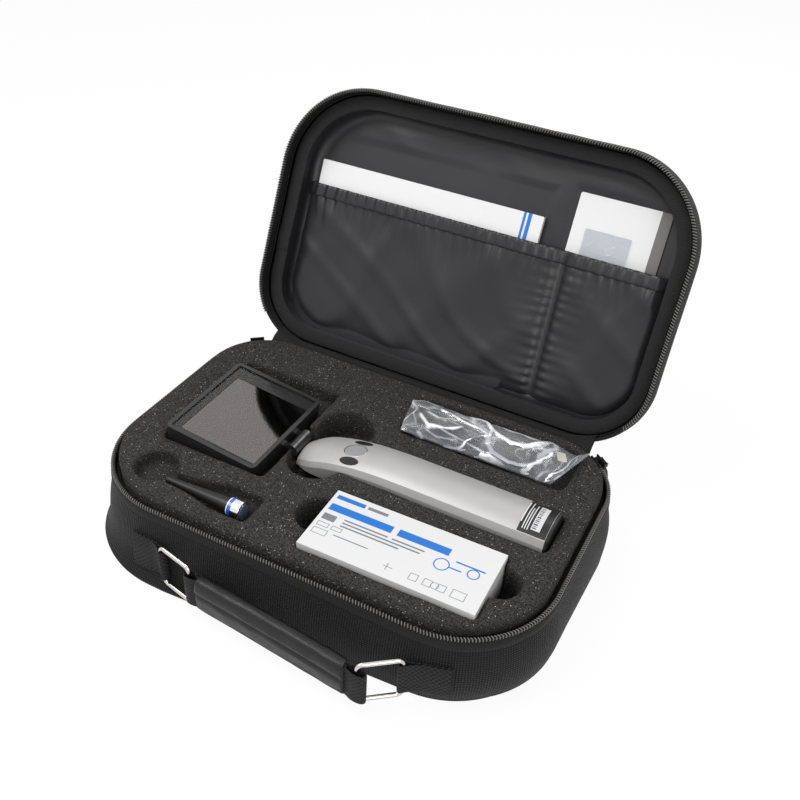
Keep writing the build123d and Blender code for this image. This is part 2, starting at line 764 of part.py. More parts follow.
def pull_tab(side):
    """A flat pull with an eye round the slider's pin, hanging down and leaning outwards."""
    frame = corner_frame(side, base_height)
    lean = radians(pull_lean)
    down = Vector(0, 0, -cos(lean)) + frame.x_dir * sin(lean)
    eye = frame.origin + frame.x_dir * (outer_plate + bail_reach - 1.2)
    tab_plane = Plane(origin=eye, x_dir=down, z_dir=frame.y_dir)
    eye_width = 4.6
    with BuildSketch(tab_plane.offset(-eye_width / 2)) as eye_shape:
        Circle(pull_pin_radius + 0.9)
        with Locations((3.0, 0)):
            Rectangle(4.0, pull_thickness)
        Circle(pull_pin_radius + 0.1, mode=Mode.SUBTRACT)
    extrude(eye_shape.sketch, amount=eye_width)
    tab_face = Plane(origin=eye, x_dir=down, z_dir=tab_plane.y_dir)
    with BuildSketch(tab_face.offset(-pull_thickness / 2)) as tab:
        with Locations((4.5 + (pull_length - 4.5) / 2, 0)):
            RectangleRounded(pull_length - 4.5, pull_width, 2.0)
        with Locations((pull_length - 5.0, 0)):
            Circle(1.8, mode=Mode.SUBTRACT)
    extrude(tab.sketch, amount=pull_thickness)


for side, side_name in ((-1, "left"), (1, "right")):
    with BuildPart() as zip_slider:
        slider(side)
    finish(zip_slider, f"zip_slider_{side_name}")
    with BuildPart() as zip_pull:
        pull_tab(side)
    finish(zip_pull, f"zip_pull_{side_name}")

# ---------------------------------------------------------------- monitor
screen_middle = monitor_length / 2

with BuildPart() as monitor_bezel:
    with BuildSketch(screen_plane.offset(-bezel_thickness)):
        with Locations((screen_middle, 0)):
            RectangleRounded(monitor_length, monitor_width, monitor_round)
    extrude(amount=bezel_thickness)
    with BuildSketch(screen_plane):
        with Locations((screen_middle, 0)):
            RectangleRounded(monitor_length - 2 * glass_margin, monitor_width - 2 * glass_margin,
                             monitor_round - glass_margin)
    extrude(amount=-glass_thickness, mode=Mode.SUBTRACT)
    with BuildSketch(screen_plane.offset(-glass_thickness)):
        with Locations((screen_middle + lcd_offset[0], lcd_offset[1])):
            Rectangle(lcd_size[0] + 2 * clear, lcd_size[1] + 2 * clear)
    extrude(amount=-lcd_thickness, mode=Mode.SUBTRACT)
finish(monitor_bezel, "monitor_bezel")

with BuildPart() as monitor_glass:
    with BuildSketch(screen_plane.offset(-glass_thickness)):
        with Locations((screen_middle, 0)):
            RectangleRounded(monitor_length - 2 * glass_margin - clear, monitor_width - 2 * glass_margin - clear,
                             monitor_round - glass_margin)
    extrude(amount=glass_thickness)
finish(monitor_glass, "monitor_glass")

with BuildPart() as lcd_panel:
    with BuildSketch(screen_plane.offset(-glass_thickness - lcd_thickness)):
        with Locations((screen_middle + lcd_offset[0], lcd_offset[1])):
            Rectangle(lcd_size[0], lcd_size[1])
    extrude(amount=lcd_thickness - lcd_gap)
finish(lcd_panel, "lcd_panel")

rear_depth = monitor_thickness - bezel_thickness
neck_plane = Plane(origin=(pin_x, scope_y, pin_z), x_dir=(1, 0, 0), z_dir=(0, -1, 0))

with BuildPart() as monitor_rear:
    with BuildSketch(screen_plane.offset(-bezel_thickness)):
        with Locations((screen_middle, 0)):
            RectangleRounded(monitor_length, monitor_width, monitor_round)
    extrude(amount=-rear_depth)
    fillet(monitor_rear.faces().filter_by(screen_plane).sort_by(Axis(screen_plane.origin,
           screen_plane.z_dir))[0].edges(), monitor_round - 1.0)
    # two ears that carry the hinge pin
    for ear_side in (-1, 1):
        ear_start = ear_side * (knuckle_width / 2 + clear + ear_width / 2) - ear_width / 2
        with BuildSketch(neck_plane.offset(ear_start)):
            Circle(knuckle_radius)
            with Locations((-pin_reach / 2 - 1.0, -1.3)):
                Rectangle(pin_reach + 2.0, 2 * knuckle_radius - 2.6)
        extrude(amount=ear_width)
    with BuildSketch(screen_plane.offset(-bezel_thickness)):
        with Locations((screen_middle, 0)):
            RectangleRounded(monitor_length - 2 * rear_wall, monitor_width - 2 * rear_wall,
                             monitor_round - rear_wall)
    extrude(amount=-(rear_depth - rear_wall), mode=Mode.SUBTRACT)
    with BuildSketch(neck_plane.offset(-knuckle_width - ear_width)):
        Circle(pin_radius)
    extrude(amount=2 * (knuckle_width + ear_width), mode=Mode.SUBTRACT)
finish(monitor_rear, "monitor_rear")

pin_length = knuckle_width + 2 * (ear_width + clear)

with BuildPart() as tilt_pin:
    with BuildSketch(neck_plane.offset(-pin_length / 2)):
        Circle(pin_radius)
    extrude(amount=pin_length)
finish(tilt_pin, "tilt_pin")

# ---------------------------------------------------------------- otoscope handle
tip_x = pin_x + neck_length
head_end_x = tip_x + head_length
tube_crown = scope_top - scope_bottom - tube_side
tip_crown = head_tip_height - head_tip_side


def head_form(x):
    """Width, side height and overall height of the handle at x."""
    share = min(max((x - tip_x) / head_length, 0), 1)
    bend = 1 - (1 - share) ** head_bend
    swell = 1 - (1 - min(share / head_swell, 1)) ** 2
    side = head_tip_side + bend * (tube_side - head_tip_side)
    crown = tip_crown + share * (tube_crown - tip_crown)
    return head_tip_width + swell * (grip_tube_width - head_tip_width), side, side + crown


def tube_section(x, skin):
    """The handle's section at x, moved in by skin: straight sides, upper bevels and a crowned top."""
    width, side, height = head_form(x)
    half = width / 2 - skin
    low = scope_bottom + skin
    edge = max(scope_bottom + side - 0.3 * skin, low + 0.6)
    top = scope_bottom + height - skin
    shoulder = edge + bevel_share * (top - edge)
    cut = min(lower_bevel, 0.8 * (edge - low))
    near, far = scope_y - half, scope_y + half
    with BuildSketch(Plane.YZ.offset(x)) as section:
        with BuildLine():
            Polyline((near + bevel_inset, shoulder), (near, edge), (near, low + cut), (near + cut, low),
                     (far - cut, low), (far, low + cut), (far, edge), (far - bevel_inset, shoulder))
            ThreePointArc((far - bevel_inset, shoulder), (scope_y, top), (near + bevel_inset, shoulder))
        make_face()
    return section.sketch


def handle_form(skin, mode=Mode.ADD):
    """The handle's outer form, moved in by skin: a head that swells and rises, then a straight grip."""
    start = tip_x + skin
    sections = [tube_section(start + (head_end_x - start) * (step / head_steps) ** 1.5, skin)
                for step in range(head_steps + 1)]
    loft(sections, mode=mode)
    extrude(sections[-1], amount=scope_end - end_cap_length - head_end_x, mode=mode)


pad_x = pin_x + pad_reach
pad_height = scope_bottom + head_form(pad_x)[2] - pad_dip
pad_lean = radians(pad_angle)
pad_plane = Plane(origin=(pad_x, scope_y, pad_height), x_dir=(cos(pad_lean), 0, sin(pad_lean)),
                  z_dir=(-sin(pad_lean), 0, cos(pad_lean)))

with BuildPart() as indicator_windows:
    handle_form(0)
    handle_form(window_skin, mode=Mode.SUBTRACT)
    with BuildSketch(Plane.XY.offset(tube_split)):
        for side in (-1, 1):
            with Locations((pad_x + window_shift, scope_y + side * window_spread)):
                Ellipse(window_size[0], window_size[1])
    extrude(amount=scope_top - tube_split + clear, mode=Mode.INTERSECT)
finish(indicator_windows, "indicator_windows")

with BuildPart() as handle_upper:
    handle_form(0)
    handle_form(tube_wall, mode=Mode.SUBTRACT)
    with BuildSketch(Plane.XY.offset(tube_split)):
        Rectangle(2 * case_width, case_depth)
    extrude(amount=scope_bottom - tube_split - 1, mode=Mode.SUBTRACT)
    add(indicator_windows.part, mode=Mode.SUBTRACT)
    with BuildSketch(pad_plane.offset(-pad_hole_depth)):
        Ellipse(pad_size[0] + clear, pad_size[1] + clear)
    extrude(amount=2 * pad_hole_depth, mode=Mode.SUBTRACT)
finish(handle_upper, "handle_upper")

with BuildPart() as handle_lower:
    handle_form(0)
    handle_form(tube_wall, mode=Mode.SUBTRACT)
    with BuildSketch(Plane.XY.offset(tube_split)):
        Rectangle(2 * case_width, case_depth)
    extrude(amount=scope_top - tube_split + 1, mode=Mode.SUBTRACT)
finish(handle_lower, "handle_lower")

with BuildPart() as control_pad:
    with BuildSketch(pad_plane.offset(pad_stand - pad_thick)):
        Ellipse(pad_size[0], pad_size[1])
    extrude(amount=pad_thick)
    fillet(control_pad.edges().sort_by(Axis(pad_plane.origin, pad_plane.z_dir))[-1], 0.6)
finish(control_pad, "control_pad")

cap_rows = [(0, 0), (0.5, 0.1), (0.8, 0.4), (1, 1)]      # along the cap, and how far its face rounds in

with BuildPart() as handle_end_cap:
    cap_start = scope_end - end_cap_length
    loft([tube_section(cap_start + along * end_cap_length, inward * end_cap_crown) for along, inward in cap_rows],
         ruled=True)
finish(handle_end_cap, "handle_end_cap")

with BuildPart() as handle_label:
    label_start = cap_start - clear - label_size[0]
    extrude(tube_section(label_start, -label_thickness), amount=label_size[0])
    extrude(tube_section(label_start, 0), amount=label_size[0], mode=Mode.SUBTRACT)
    with BuildSketch(Plane.XY.offset(scope_bottom + tube_side)):
        with Locations((label_start + label_size[0] / 2, scope_y)):
            Rectangle(label_size[0], label_size[1])
    extrude(amount=2 * tube_crown, mode=Mode.INTERSECT)
finish(handle_label, "handle_label")

with BuildPart() as neck:
    with BuildSketch(neck_plane.offset(-knuckle_width / 2)):
        Circle(knuckle_radius)
        with Locations((neck_length / 2, scope_bottom + head_tip_height / 2 - pin_z)):
            Rectangle(neck_length, head_tip_height - 2 * neck_step)
        Circle(pin_radius + pin_running, mode=Mode.SUBTRACT)
    extrude(amount=knuckle_width)
finish(neck, "neck")

# ---------------------------------------------------------------- lens module
lens_ring_start = lens_end_x - lens_face_length - lens_ring_length
blue_start = lens_ring_start - blue_ring_length
white_start = blue_start - white_ring_length
collar_start = white_start - collar_length
arm_start = collar_start - arm_length


def lens_disc(start, length, radius):
    """A round slice of the lens module, along X."""
    with BuildSketch(Plane.YZ.offset(start)) as slice_face:
        with Locations((lens_y, lens_z)):
            Circle(radius)
    extrude(slice_face.sketch, amount=length)


lens_rings = [
    ("lens_face", lens_end_x - lens_face_length, lens_face_length, lens_ring_radius - 2.0),
    ("lens_chrome_ring", lens_ring_start, lens_ring_length, lens_ring_radius),
    ("lens_blue_ring", blue_start, blue_ring_length, lens_ring_radius - 0.5),
    ("lens_white_ring", white_start, white_ring_length, lens_ring_radius - 0.9),
    ("lens_collar", collar_start, collar_length, lens_ring_radius - 1.5),
]
for ring_name, start, length, radius in lens_rings:
    with BuildPart() as lens_ring:
        lens_disc(start, length, radius)
        if ring_name == "lens_chrome_ring":
            fillet(lens_ring.edges().filter_by(GeomType.CIRCLE), 0.8)
    finish(lens_ring, ring_name)

with BuildPart() as lens_arm:
    with BuildSketch(Plane(origin=(0, lens_y, lens_z), x_dir=(1, 0, 0), z_dir=(0, -1, 0))):
        with BuildLine():
            Polyline((arm_start, 0), (arm_start, arm_tip_radius), (arm_start + 0.45 * arm_length, arm_radius - 0.8),
                     (arm_start + 0.7 * arm_length, arm_radius), (collar_start, arm_radius + 0.8),
                     (collar_start, 0), close=True)
        make_face()
    revolve(axis=Axis((0, lens_y, lens_z), (1, 0, 0)))
finish(lens_arm, "lens_arm")

# ---------------------------------------------------------------- specula carton
carton_plane = Plane(Location((carton_centre[0], carton_centre[1], carton_floor), (0, 0, carton_turn)))
length, width, height = carton_size

with BuildPart() as specula_carton:
    with BuildSketch(carton_plane):
        Rectangle(length, width)
    extrude(amount=height)
    with BuildSketch(carton_plane.offset(card_board)):
        Rectangle(length - 2 * card_board, width - 2 * card_board)
    extrude(amount=height - 2 * card_board, mode=Mode.SUBTRACT)
finish(specula_carton, "specula_carton")

cone_height = carton_floor + card_board + clear + cone_radius
row_length = (cones_in_row - 1) * cone_pitch + cone_length

with BuildPart() as specula:
    for row in (-1, 1):
        for number in range(cones_in_row):
            base_x = -row_length / 2 + number * cone_pitch
            with BuildSketch(Plane(origin=carton_plane.from_local_coords((base_x, row * 2 * cone_radius, 0)),
                                   x_dir=carton_plane.x_dir, z_dir=-carton_plane.y_dir)):
                lift = cone_height - carton_floor
                with BuildLine():
                    Polyline((0, lift + cone_radius - cone_wall), (0, lift + cone_radius),
                             (cone_length, lift + cone_tip_radius),
                             (cone_length, lift + cone_tip_radius - cone_wall), close=True)
                make_face()
            spin = Axis(carton_plane.from_local_coords((base_x, row * 2 * cone_radius, lift)), carton_plane.x_dir)
            revolve(axis=spin)
finish(specula, "specula")

# ---------------------------------------------------------------- bagged cable
bag_top = foam_top + bag_rise


def bag_form(skin, mode=Mode.ADD):
    """A filled bag: a stem that sinks into its recess and a brim that spreads over the foam."""
    stem = (bag_recess[0] - 2.5 - 2 * skin, bag_recess[1] - 2.5 - 2 * skin)
    with BuildSketch(Plane.XY.offset(bag_floor + skin)) as stem_face:
        with Locations(bag_centre):
            RectangleRounded(stem[0], stem[1], 5.0)
    extrude(stem_face.sketch, amount=foam_top + 2.0 - bag_floor, mode=mode)
    with BuildSketch(Plane.XY.offset(foam_top + clear + skin)) as brim_face:
        with Locations(bag_centre):
            RectangleRounded(bag_brim[0] - 2 * skin, bag_brim[1] - 2 * skin, bag_corner - skin)
    extrude(brim_face.sketch, amount=bag_rise - clear - 2 * skin, taper=38.0, mode=mode)


with BuildPart() as cable_bag:
    bag_form(0)
    bag_form(film, mode=Mode.SUBTRACT)
finish(cable_bag, "cable_bag")

coil_x = bag_centre[0] - bag_recess[0] / 2 + coil_turn_radius + coil_bundle_radius + 6.0

with BuildPart() as cable_coil:
    with BuildLine(Plane(origin=(coil_x, bag_centre[1], bag_floor + film + clear + coil_bundle_radius))) as turn:
        CenterArc((0, 0), coil_turn_radius, 0, 350)
    with BuildSketch(Plane(origin=turn.edges()[0] @ 0, z_dir=turn.edges()[0] % 0)):
        Circle(coil_bundle_radius)
    sweep()
finish(cable_coil, "cable_coil")

with BuildPart() as cable_plug:
    with BuildSketch(Plane.XY.offset(bag_floor + film + clear)):
        with Locations((coil_x + coil_turn_radius + coil_bundle_radius + 8.0 + plug_size[0] / 2, bag_centre[1])):
            RectangleRounded(plug_size[0], plug_size[1], 2.0)
    extrude(amount=plug_size[2])
finish(cable_plug, "cable_plug")
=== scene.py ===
import json
import bpy
import numpy as np
from math import atan2, ceil, cos, hypot, pi, radians, sin
from mathutils import Matrix, Vector


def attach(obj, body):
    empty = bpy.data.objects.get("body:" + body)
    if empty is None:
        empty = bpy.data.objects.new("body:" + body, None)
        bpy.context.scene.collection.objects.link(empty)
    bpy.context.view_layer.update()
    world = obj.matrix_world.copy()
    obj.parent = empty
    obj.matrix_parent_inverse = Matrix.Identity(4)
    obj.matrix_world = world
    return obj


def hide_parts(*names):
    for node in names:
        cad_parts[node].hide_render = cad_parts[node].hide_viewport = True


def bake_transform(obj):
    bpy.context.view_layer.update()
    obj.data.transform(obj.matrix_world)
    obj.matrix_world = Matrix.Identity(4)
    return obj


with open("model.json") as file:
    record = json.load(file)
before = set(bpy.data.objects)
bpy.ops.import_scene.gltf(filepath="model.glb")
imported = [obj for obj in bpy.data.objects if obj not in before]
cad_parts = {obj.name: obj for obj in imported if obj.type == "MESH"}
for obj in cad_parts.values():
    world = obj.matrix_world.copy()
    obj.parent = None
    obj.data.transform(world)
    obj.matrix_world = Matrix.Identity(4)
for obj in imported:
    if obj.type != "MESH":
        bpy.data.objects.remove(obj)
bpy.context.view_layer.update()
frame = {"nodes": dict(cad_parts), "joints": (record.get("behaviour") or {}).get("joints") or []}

MM = 0.001


def into_scene(name, data):
    """An object at the origin that shows this camera, lamp or mesh."""
    thing = bpy.data.objects.new(name, data)
    bpy.context.scene.collection.objects.link(thing)
    return thing

# %% [markdown]
# The case was measured in millimetres, and Blender works in metres, so every size below is a
# number of millimetres times MM. These are the sizes that the fabric pieces share with the
# solid model: the plan outline, the height where the zip closes, and how far the lid is open.

# %% Shared sizes
HALF_WIDTH = 160 * MM
HALF_DEPTH = 101.5 * MM
FRONT_RADIUS = 66 * MM
BACK_RADIUS = 50 * MM
ZIP_HEIGHT = 60 * MM
SEAM_DROP = 10 * MM
LID_HEIGHT = 36 * MM
LID_OPEN = radians(next(j for j in frame["joints"] if j["name"] == "lid_hinge")["range_deg"][1])
FOAM_TOP = 67 * MM
print("case", 2 * HALF_WIDTH, "by", 2 * HALF_DEPTH, "m, the lid open by", round(LID_OPEN, 3), "rad")

# %% [markdown]
# The view comes first. It was solved from the straight edges of the case, so the camera is
# written as a place, two directions and a focal length.

# %% Camera
camera_data = bpy.data.cameras.new("view")
camera_data.sensor_width = 36
camera_data.lens = 42.43
camera_data.clip_end = 20
camera = into_scene("view", camera_data)
view_right = Vector((0.88412986, 0.46497213, 0.04599243))
view_up = Vector((-0.31601243, 0.52255977, 0.79187589))
view_back = view_right.cross(view_up)
camera.matrix_world = Matrix.Translation((0.231014, -0.417960, 0.485791)) @ Matrix(
    (view_right, view_up, view_back)).transposed().to_4x4()
bpy.context.scene.camera = camera
print("camera", camera_data.lens, "mm")

# %% [markdown]
# A product on white: the floor is a wide sheet whose colour is white, and most of what the
# camera sees of it is plain white, with the rest left to the light so that the case still
# has its soft shadow. Three large soft lamps stand over the case.

# %% Stage and light
world = bpy.data.worlds.new("studio")
bpy.context.scene.world = world
world.use_nodes = True
world_nodes = world.node_tree.nodes
world_nodes.clear()
link = world.node_tree.links.new


def white_sky(strength):
    """An even white background."""
    node = world_nodes.new("ShaderNodeBackground")
    node.inputs["Color"].default_value = (1, 1, 1, 1)
    node.inputs["Strength"].default_value = strength
    return node.outputs[0]


def larger(first, second):
    """The larger of two sockets."""
    node = world_nodes.new("ShaderNodeMath")
    node.operation = "MAXIMUM"
    link(first, node.inputs[0])
    link(second, node.inputs[1])
    return node.outputs[0]


# what is seen, mirrored or looked through is full white; what lights the case is weaker
rays = world_nodes.new("ShaderNodeLightPath").outputs
pick = world_nodes.new("ShaderNodeMixShader")
link(larger(rays["Is Camera Ray"], larger(rays["Is Glossy Ray"], rays["Is Transmission Ray"])), pick.inputs[0])
link(white_sky(0.45), pick.inputs[1])
link(white_sky(1.0), pick.inputs[2])
link(pick.outputs[0], world_nodes.new("ShaderNodeOutputWorld").inputs["Surface"])


def lamp(name, place, target, size, power):
    """A square area lamp at place, turned towards target."""
    data = bpy.data.lights.new(name, "AREA")
    data.size = size
    data.energy = power
    lamp_object = into_scene(name, data)
    lamp_object.location = place
    lamp_object.rotation_euler = (Vector(target) - Vector(place)).to_track_quat("-Z", "Y").to_euler()
    print("lamp", name, power, "W")


centre = (0, 0.03, 0.08)
lamp("key", (-0.5, -0.35, 1.15), centre, 0.7, 12)
lamp("fill", (0.95, -0.75, 0.75), centre, 0.8, 7)
lamp("back", (0.3, 1.0, 1.0), centre, 0.8, 9)
bpy.context.scene.view_settings.view_transform = "Standard"

# %% [markdown]
# Every finish is a small graph of nodes. Written by hand, the arithmetic in them is hard to
# read, so one class wraps a socket and turns + - * / into Math nodes, and another holds the
# material and adds any other node by its type, its settings and its inputs.


# %% Writing materials as expressions
class Reading:
    """One number socket. Python's operators on it add Math nodes."""

    def __init__(self, finish, socket):
        self.finish = finish
        self.socket = socket

    def math(self, operation, first, second=None):
        """One Math node on one or two numbers or readings."""
        node = self.finish.add("ShaderNodeMath", {"operation": operation}, {0: first, 1: second})
        return Reading(self.finish, node.outputs[0])

    def __add__(self, other):
        return self.math("ADD", self, other)

    def __sub__(self, other):
        return self.math("SUBTRACT", self, other)

    def __rsub__(self, other):
        return self.math("SUBTRACT", other, self)

    def __mul__(self, other):
        return self.math("MULTIPLY", self, other)

    __radd__ = __add__
    __rmul__ = __mul__

    def sine(self):
        """The sine of it as an angle in radians."""
        return self.math("SINE", self)

    def size(self):
        """How far it is from 0."""
        return self.math("ABSOLUTE", self)

    def most(self, other):
        """The larger of the two."""
        return self.math("MAXIMUM", self, other)

    def least(self, other):
        """The smaller of the two."""
        return self.math("MINIMUM", self, other)

    def over(self, low, high):
        """0 below low, 1 above high, and a smooth rise between."""
        node = self.finish.add("ShaderNodeMapRange", {"interpolation_type": "SMOOTHSTEP"},
                               {"Value": self, "From Min": low, "From Max": high})
        return Reading(self.finish, node.outputs[0])

    def between(self, low, high, edge):
        """1 from low to high, and a smooth fall about edge wide past each."""
        return self.over(low - edge, low + edge) * (1 - self.over(high - edge, high + edge))


class Finish:
    """A material, with the shader's own constants set by name."""

    def __init__(self, name, **constants):
        self.name = name
        self.material = bpy.data.materials.new(name)
        self.material.use_nodes = True
        self.tree = self.material.node_tree
        self.tree.nodes.clear()
        self.output = self.tree.nodes.new("ShaderNodeOutputMaterial")
        self.shader = self.add("ShaderNodeBsdfPrincipled")
        self.tree.links.new(self.shader.outputs[0], self.output.inputs["Surface"])
        self.set(**constants)

    def add(self, kind, settings=None, sockets=None):
        """Any node by its type, its settings and what goes into its sockets."""
        node = self.tree.nodes.new(kind)
        for key, value in (settings or {}).items():
            setattr(node, key, value)
        for key, value in (sockets or {}).items():
            if value is not None:
                self.feed(node.inputs[key], value)
        return node

    def feed(self, target, value):
        """Links a reading or a socket, or sets a number or a colour. One number for a colour is a grey."""
        if isinstance(value, Reading):
            value = value.socket
        if isinstance(value, bpy.types.NodeSocket):
            self.tree.links.new(value, target)
        elif target.type == "RGBA" and not hasattr(value, "__len__"):
            target.default_value = (value, value, value, 1)
        elif target.type == "RGBA":
            target.default_value = (*value[:3], 1)
        else:
            target.default_value = value

    def set(self, **constants):
        """Feeds the shader's sockets: base_color stands for Base Color, and so on."""
        for key, value in constants.items():
            words = " ".join(w.upper() if w == "ior" else w.capitalize() for w in key.split("_"))
            self.feed(self.shader.inputs[words], value)

    def split(self, vector):
        """A vector's three parts."""
        node = self.add("ShaderNodeSeparateXYZ", {}, {0: vector})
        return [Reading(self, s) for s in node.outputs]

    def place(self):
        """Object coordinates x, y, z in metres."""
        return self.split(self.where())

    def where(self):
        """Object coordinates as one vector."""
        return self.add("ShaderNodeTexCoord").outputs["Object"]

    def cloth(self):
        """The piece's own UV map, in metres along the cloth."""
        return self.split(self.add("ShaderNodeUVMap").outputs[0])

    def vector(self, x, y, z=0.0):
        """One vector from its parts."""
        return self.add("ShaderNodeCombineXYZ", {}, {0: x, 1: y, 2: z}).outputs[0]

    def noise(self, size, detail=2.0, vector=None, roughness=0.5):
        """Smooth noise with features about size metres across, 0 to 1."""
        node = self.add("ShaderNodeTexNoise", {},
                        {"Vector": vector or self.where(), "Scale": 1 / size, "Detail": detail,
                         "Roughness": roughness})
        return Reading(self, node.outputs["Fac"])

    def cells(self, size, feature="F1", output="Distance", vector=None):
        """Round cells about size metres across: the distance from the nearest middle, or another reading."""
        node = self.add("ShaderNodeTexVoronoi", {"feature": feature},
                        {"Vector": vector or self.where(), "Scale": 1 / size})
        return Reading(self, node.outputs[output])

    def mix(self, factor, first, second):
        """A colour between first and second."""
        node = self.add("ShaderNodeMix", {"data_type": "RGBA"}, {0: factor, 6: first, 7: second})
        return node.outputs[2]

    def bump(self, height, distance, strength=1.0):
        """A normal tilted as if height 1 stood out by distance metres."""
        node = self.add("ShaderNodeBump", {}, {"Height": height, "Distance": distance, "Strength": strength})
        return node.outputs[0]

    def facing(self, blend):
        """0 where the surface faces the light's path, rising to 1 where it turns away."""
        return Reading(self, self.add("ShaderNodeLayerWeight", {}, {"Blend": blend}).outputs["Facing"])

    def share(self, factor, first, second):
        """Shows the shader first where factor is 0 and second where it is 1."""
        both = self.add("ShaderNodeMixShader", {}, {0: factor, 1: first.outputs[0], 2: second.outputs[0]})
        self.tree.links.new(both.outputs[0], self.output.inputs["Surface"])

    def cover(self, factor, clear_colour):
        """Shows this finish by factor, and lets the rest of the light through, tinted."""
        self.share(factor, self.add("ShaderNodeBsdfTransparent", {}, {0: clear_colour}), self.shader)


finishes = {}


def keep(finish):
    """Stores the material under the finish's name."""
    finishes[finish.name] = finish.material
    print("finish", finish.name)
    return finish.material


def turned_axes(x, y, turn):
    """Distances along and across a line at an angle to x: the two axes turned by that angle."""
    return x * cos(turn) + y * sin(turn), y * cos(turn) - x * sin(turn)


def rectangle(u, v, low_u, high_u, low_v, high_v, edge=0.12 * MM):
    """A mask, 1 inside the limits."""
    return u.between(low_u, high_u, edge) * v.between(low_v, high_v, edge)


# %% [markdown]
# The case is sewn from one heavy black nylon. Its threads cross in a plain weave that catches
# the light as rows of dots, so the weave is a product of two sines along the cloth's own
# map, and it drives both the bump and a painted highlight on the threads' tops in the colour.


# %% Nylon, webbing and tapes
def weave(finish, u, v, pitch):
    """Rows of dots: the product of one sine along u and one along v, from -1 to 1."""
    turn = 2 * pi / pitch
    return (u * turn).sine() * (v * turn).sine()


def nylon_finish(name, pitch=3.3 * MM, dark=0.001, light=0.019):
    """Woven dots, smoother on top and with a painted highlight there, over a slow cloud of wear."""
    finish = Finish(name, roughness=0.62, sheen_weight=0.03, sheen_roughness=0.4, specular_ior_level=0.14)
    u, v, _ = finish.cloth()
    dots = weave(finish, u, v, pitch).size()
    worn = finish.noise(30 * MM, 3)
    # the colour: a painted highlight on the threads' tops from the dots, and a random cloud of wear
    tone = dots * 0.7 + worn * 0.3
    finish.set(base_color=finish.mix(tone, (dark, dark, dark * 1.04), (light, light, light * 1.04)),
               roughness=0.70 - dots * 0.25,
               normal=finish.bump(dots, 0.5 * MM, 1.0))
    return keep(finish)


def ribbed_finish(name, pitch, tone, depth=0.25 * MM, slant=0.0):
    """Ribs across a tape: u runs along it. Its colour follows the ribs' height, a painted highlight on their tops
    and painted shade between them.
    """
    finish = Finish(name, roughness=0.7, sheen_weight=0.03, sheen_roughness=0.5, specular_ior_level=0.14)
    u, v, _ = finish.cloth()
    ribs = ((u + v * slant) * (2 * pi / pitch)).sine() * 0.5 + 0.5
    threads = (v * (2 * pi / (0.7 * MM))).sine() * 0.5 + 0.5
    height = ribs * 0.75 + threads * 0.25
    # painted highlight on the ribs and threads, painted shade in the hollows between them
    finish.set(base_color=finish.mix(height, tone * 0.4, tone * 1.7),
               normal=finish.bump(height, depth, 0.8))
    return keep(finish)


def webbing_finish():
    """A coarse weave in hard-edged blocks, with fine threads along it; its colour follows their height, a painted
    highlight on the raised blocks and threads and painted shade between them.
    """
    finish = Finish("webbing", roughness=0.66, sheen_weight=0.04, sheen_roughness=0.4, specular_ior_level=0.16)
    u, v, _ = finish.cloth()
    blocks = weave(finish, u, v, 3.4 * MM).over(-0.35, 0.35)
    fine = (v * (2 * pi / (0.9 * MM))).sine() * 0.5 + 0.5
    height = blocks * 0.7 + fine * 0.3
    # painted highlight on the raised blocks and threads, painted shade between them
    finish.set(base_color=finish.mix(height, 0.002, (0.022, 0.022, 0.023)),
               normal=finish.bump(height, 0.5 * MM, 0.9))
    return keep(finish)


nylon_finish("shell_nylon")
ribbed_finish("band_nylon", 1.6 * MM, 0.010, slant=0.8)
ribbed_finish("ribbed_binding", 1.3 * MM, 0.016, slant=0.5)
ribbed_finish("hinge_webbing", 1.6 * MM, 0.010)
webbing_finish()

# %% [markdown]
# The lid is lined with black satin. Satin's threads float, so it shines along its folds and
# shows almost no weave: a low roughness, a soft sheen and a very fine grain are enough, and
# the folds themselves are in the mesh.


# %% Satin, foam and felt
def satin_finish():
    """A cloud of tone and a fine grain drawn out four times along u."""
    finish = Finish("satin_lining", sheen_weight=0.08, sheen_roughness=0.3, specular_ior_level=0.42)
    u, v, _ = finish.cloth()
    grain = finish.noise(0.8 * MM, 2, finish.vector(u * 0.25, v))
    cloud = finish.noise(45 * MM, 3)
    finish.set(base_color=finish.mix(cloud * 0.6 + grain * 0.4, (0.006, 0.006, 0.007), (0.020, 0.020, 0.023)),
               roughness=0.34 + grain * 0.14,
               normal=finish.bump(grain, 0.06 * MM, 0.5))
    return keep(finish)


def foam_finish():
    """Open-cell foam: a fine mottle of pores and cell walls, with painted highlights on a few walls where they would
    catch the light.
    """
    finish = Finish("foam", roughness=0.95, specular_ior_level=0.08)
    fine = finish.noise(0.9 * MM, 3, roughness=0.7)
    pores = finish.cells(1.0 * MM)
    chance = finish.cells(0.95 * MM, output="Color")
    # painted highlights: a few cell walls that would catch the light, in a warm pale colour
    cell_glints = chance.over(0.80, 0.92) * (1 - finish.cells(0.95 * MM).over(0.20, 0.48))
    mottle = fine.over(0.32, 0.68)
    body = finish.mix(mottle, 0.008, (0.066, 0.062, 0.060))
    finish.set(base_color=finish.mix(cell_glints, body, (0.48, 0.43, 0.36)),
               normal=finish.bump(pores * 0.7 + fine, 0.8 * MM, 0.9))
    return keep(finish)


def felt_finish(name, tone):
    """Fine noise as fibres, in both tone and bump."""
    finish = Finish(name, roughness=0.95, sheen_weight=0.05, sheen_roughness=0.6, specular_ior_level=0.1)
    fibre = finish.noise(0.5 * MM, 4)
    finish.set(base_color=finish.mix(fibre, tone * 0.5, tone * 1.5),
               normal=finish.bump(fibre, 0.3 * MM, 0.6))
    return keep(finish)


satin_finish()
foam_finish()
felt_finish("liner_felt", 0.010)
felt_finish("lid_padding", 0.010)

# %% [markdown]
# The carry grip is wrapped in grained imitation leather, rubbed shiny along its high edges.


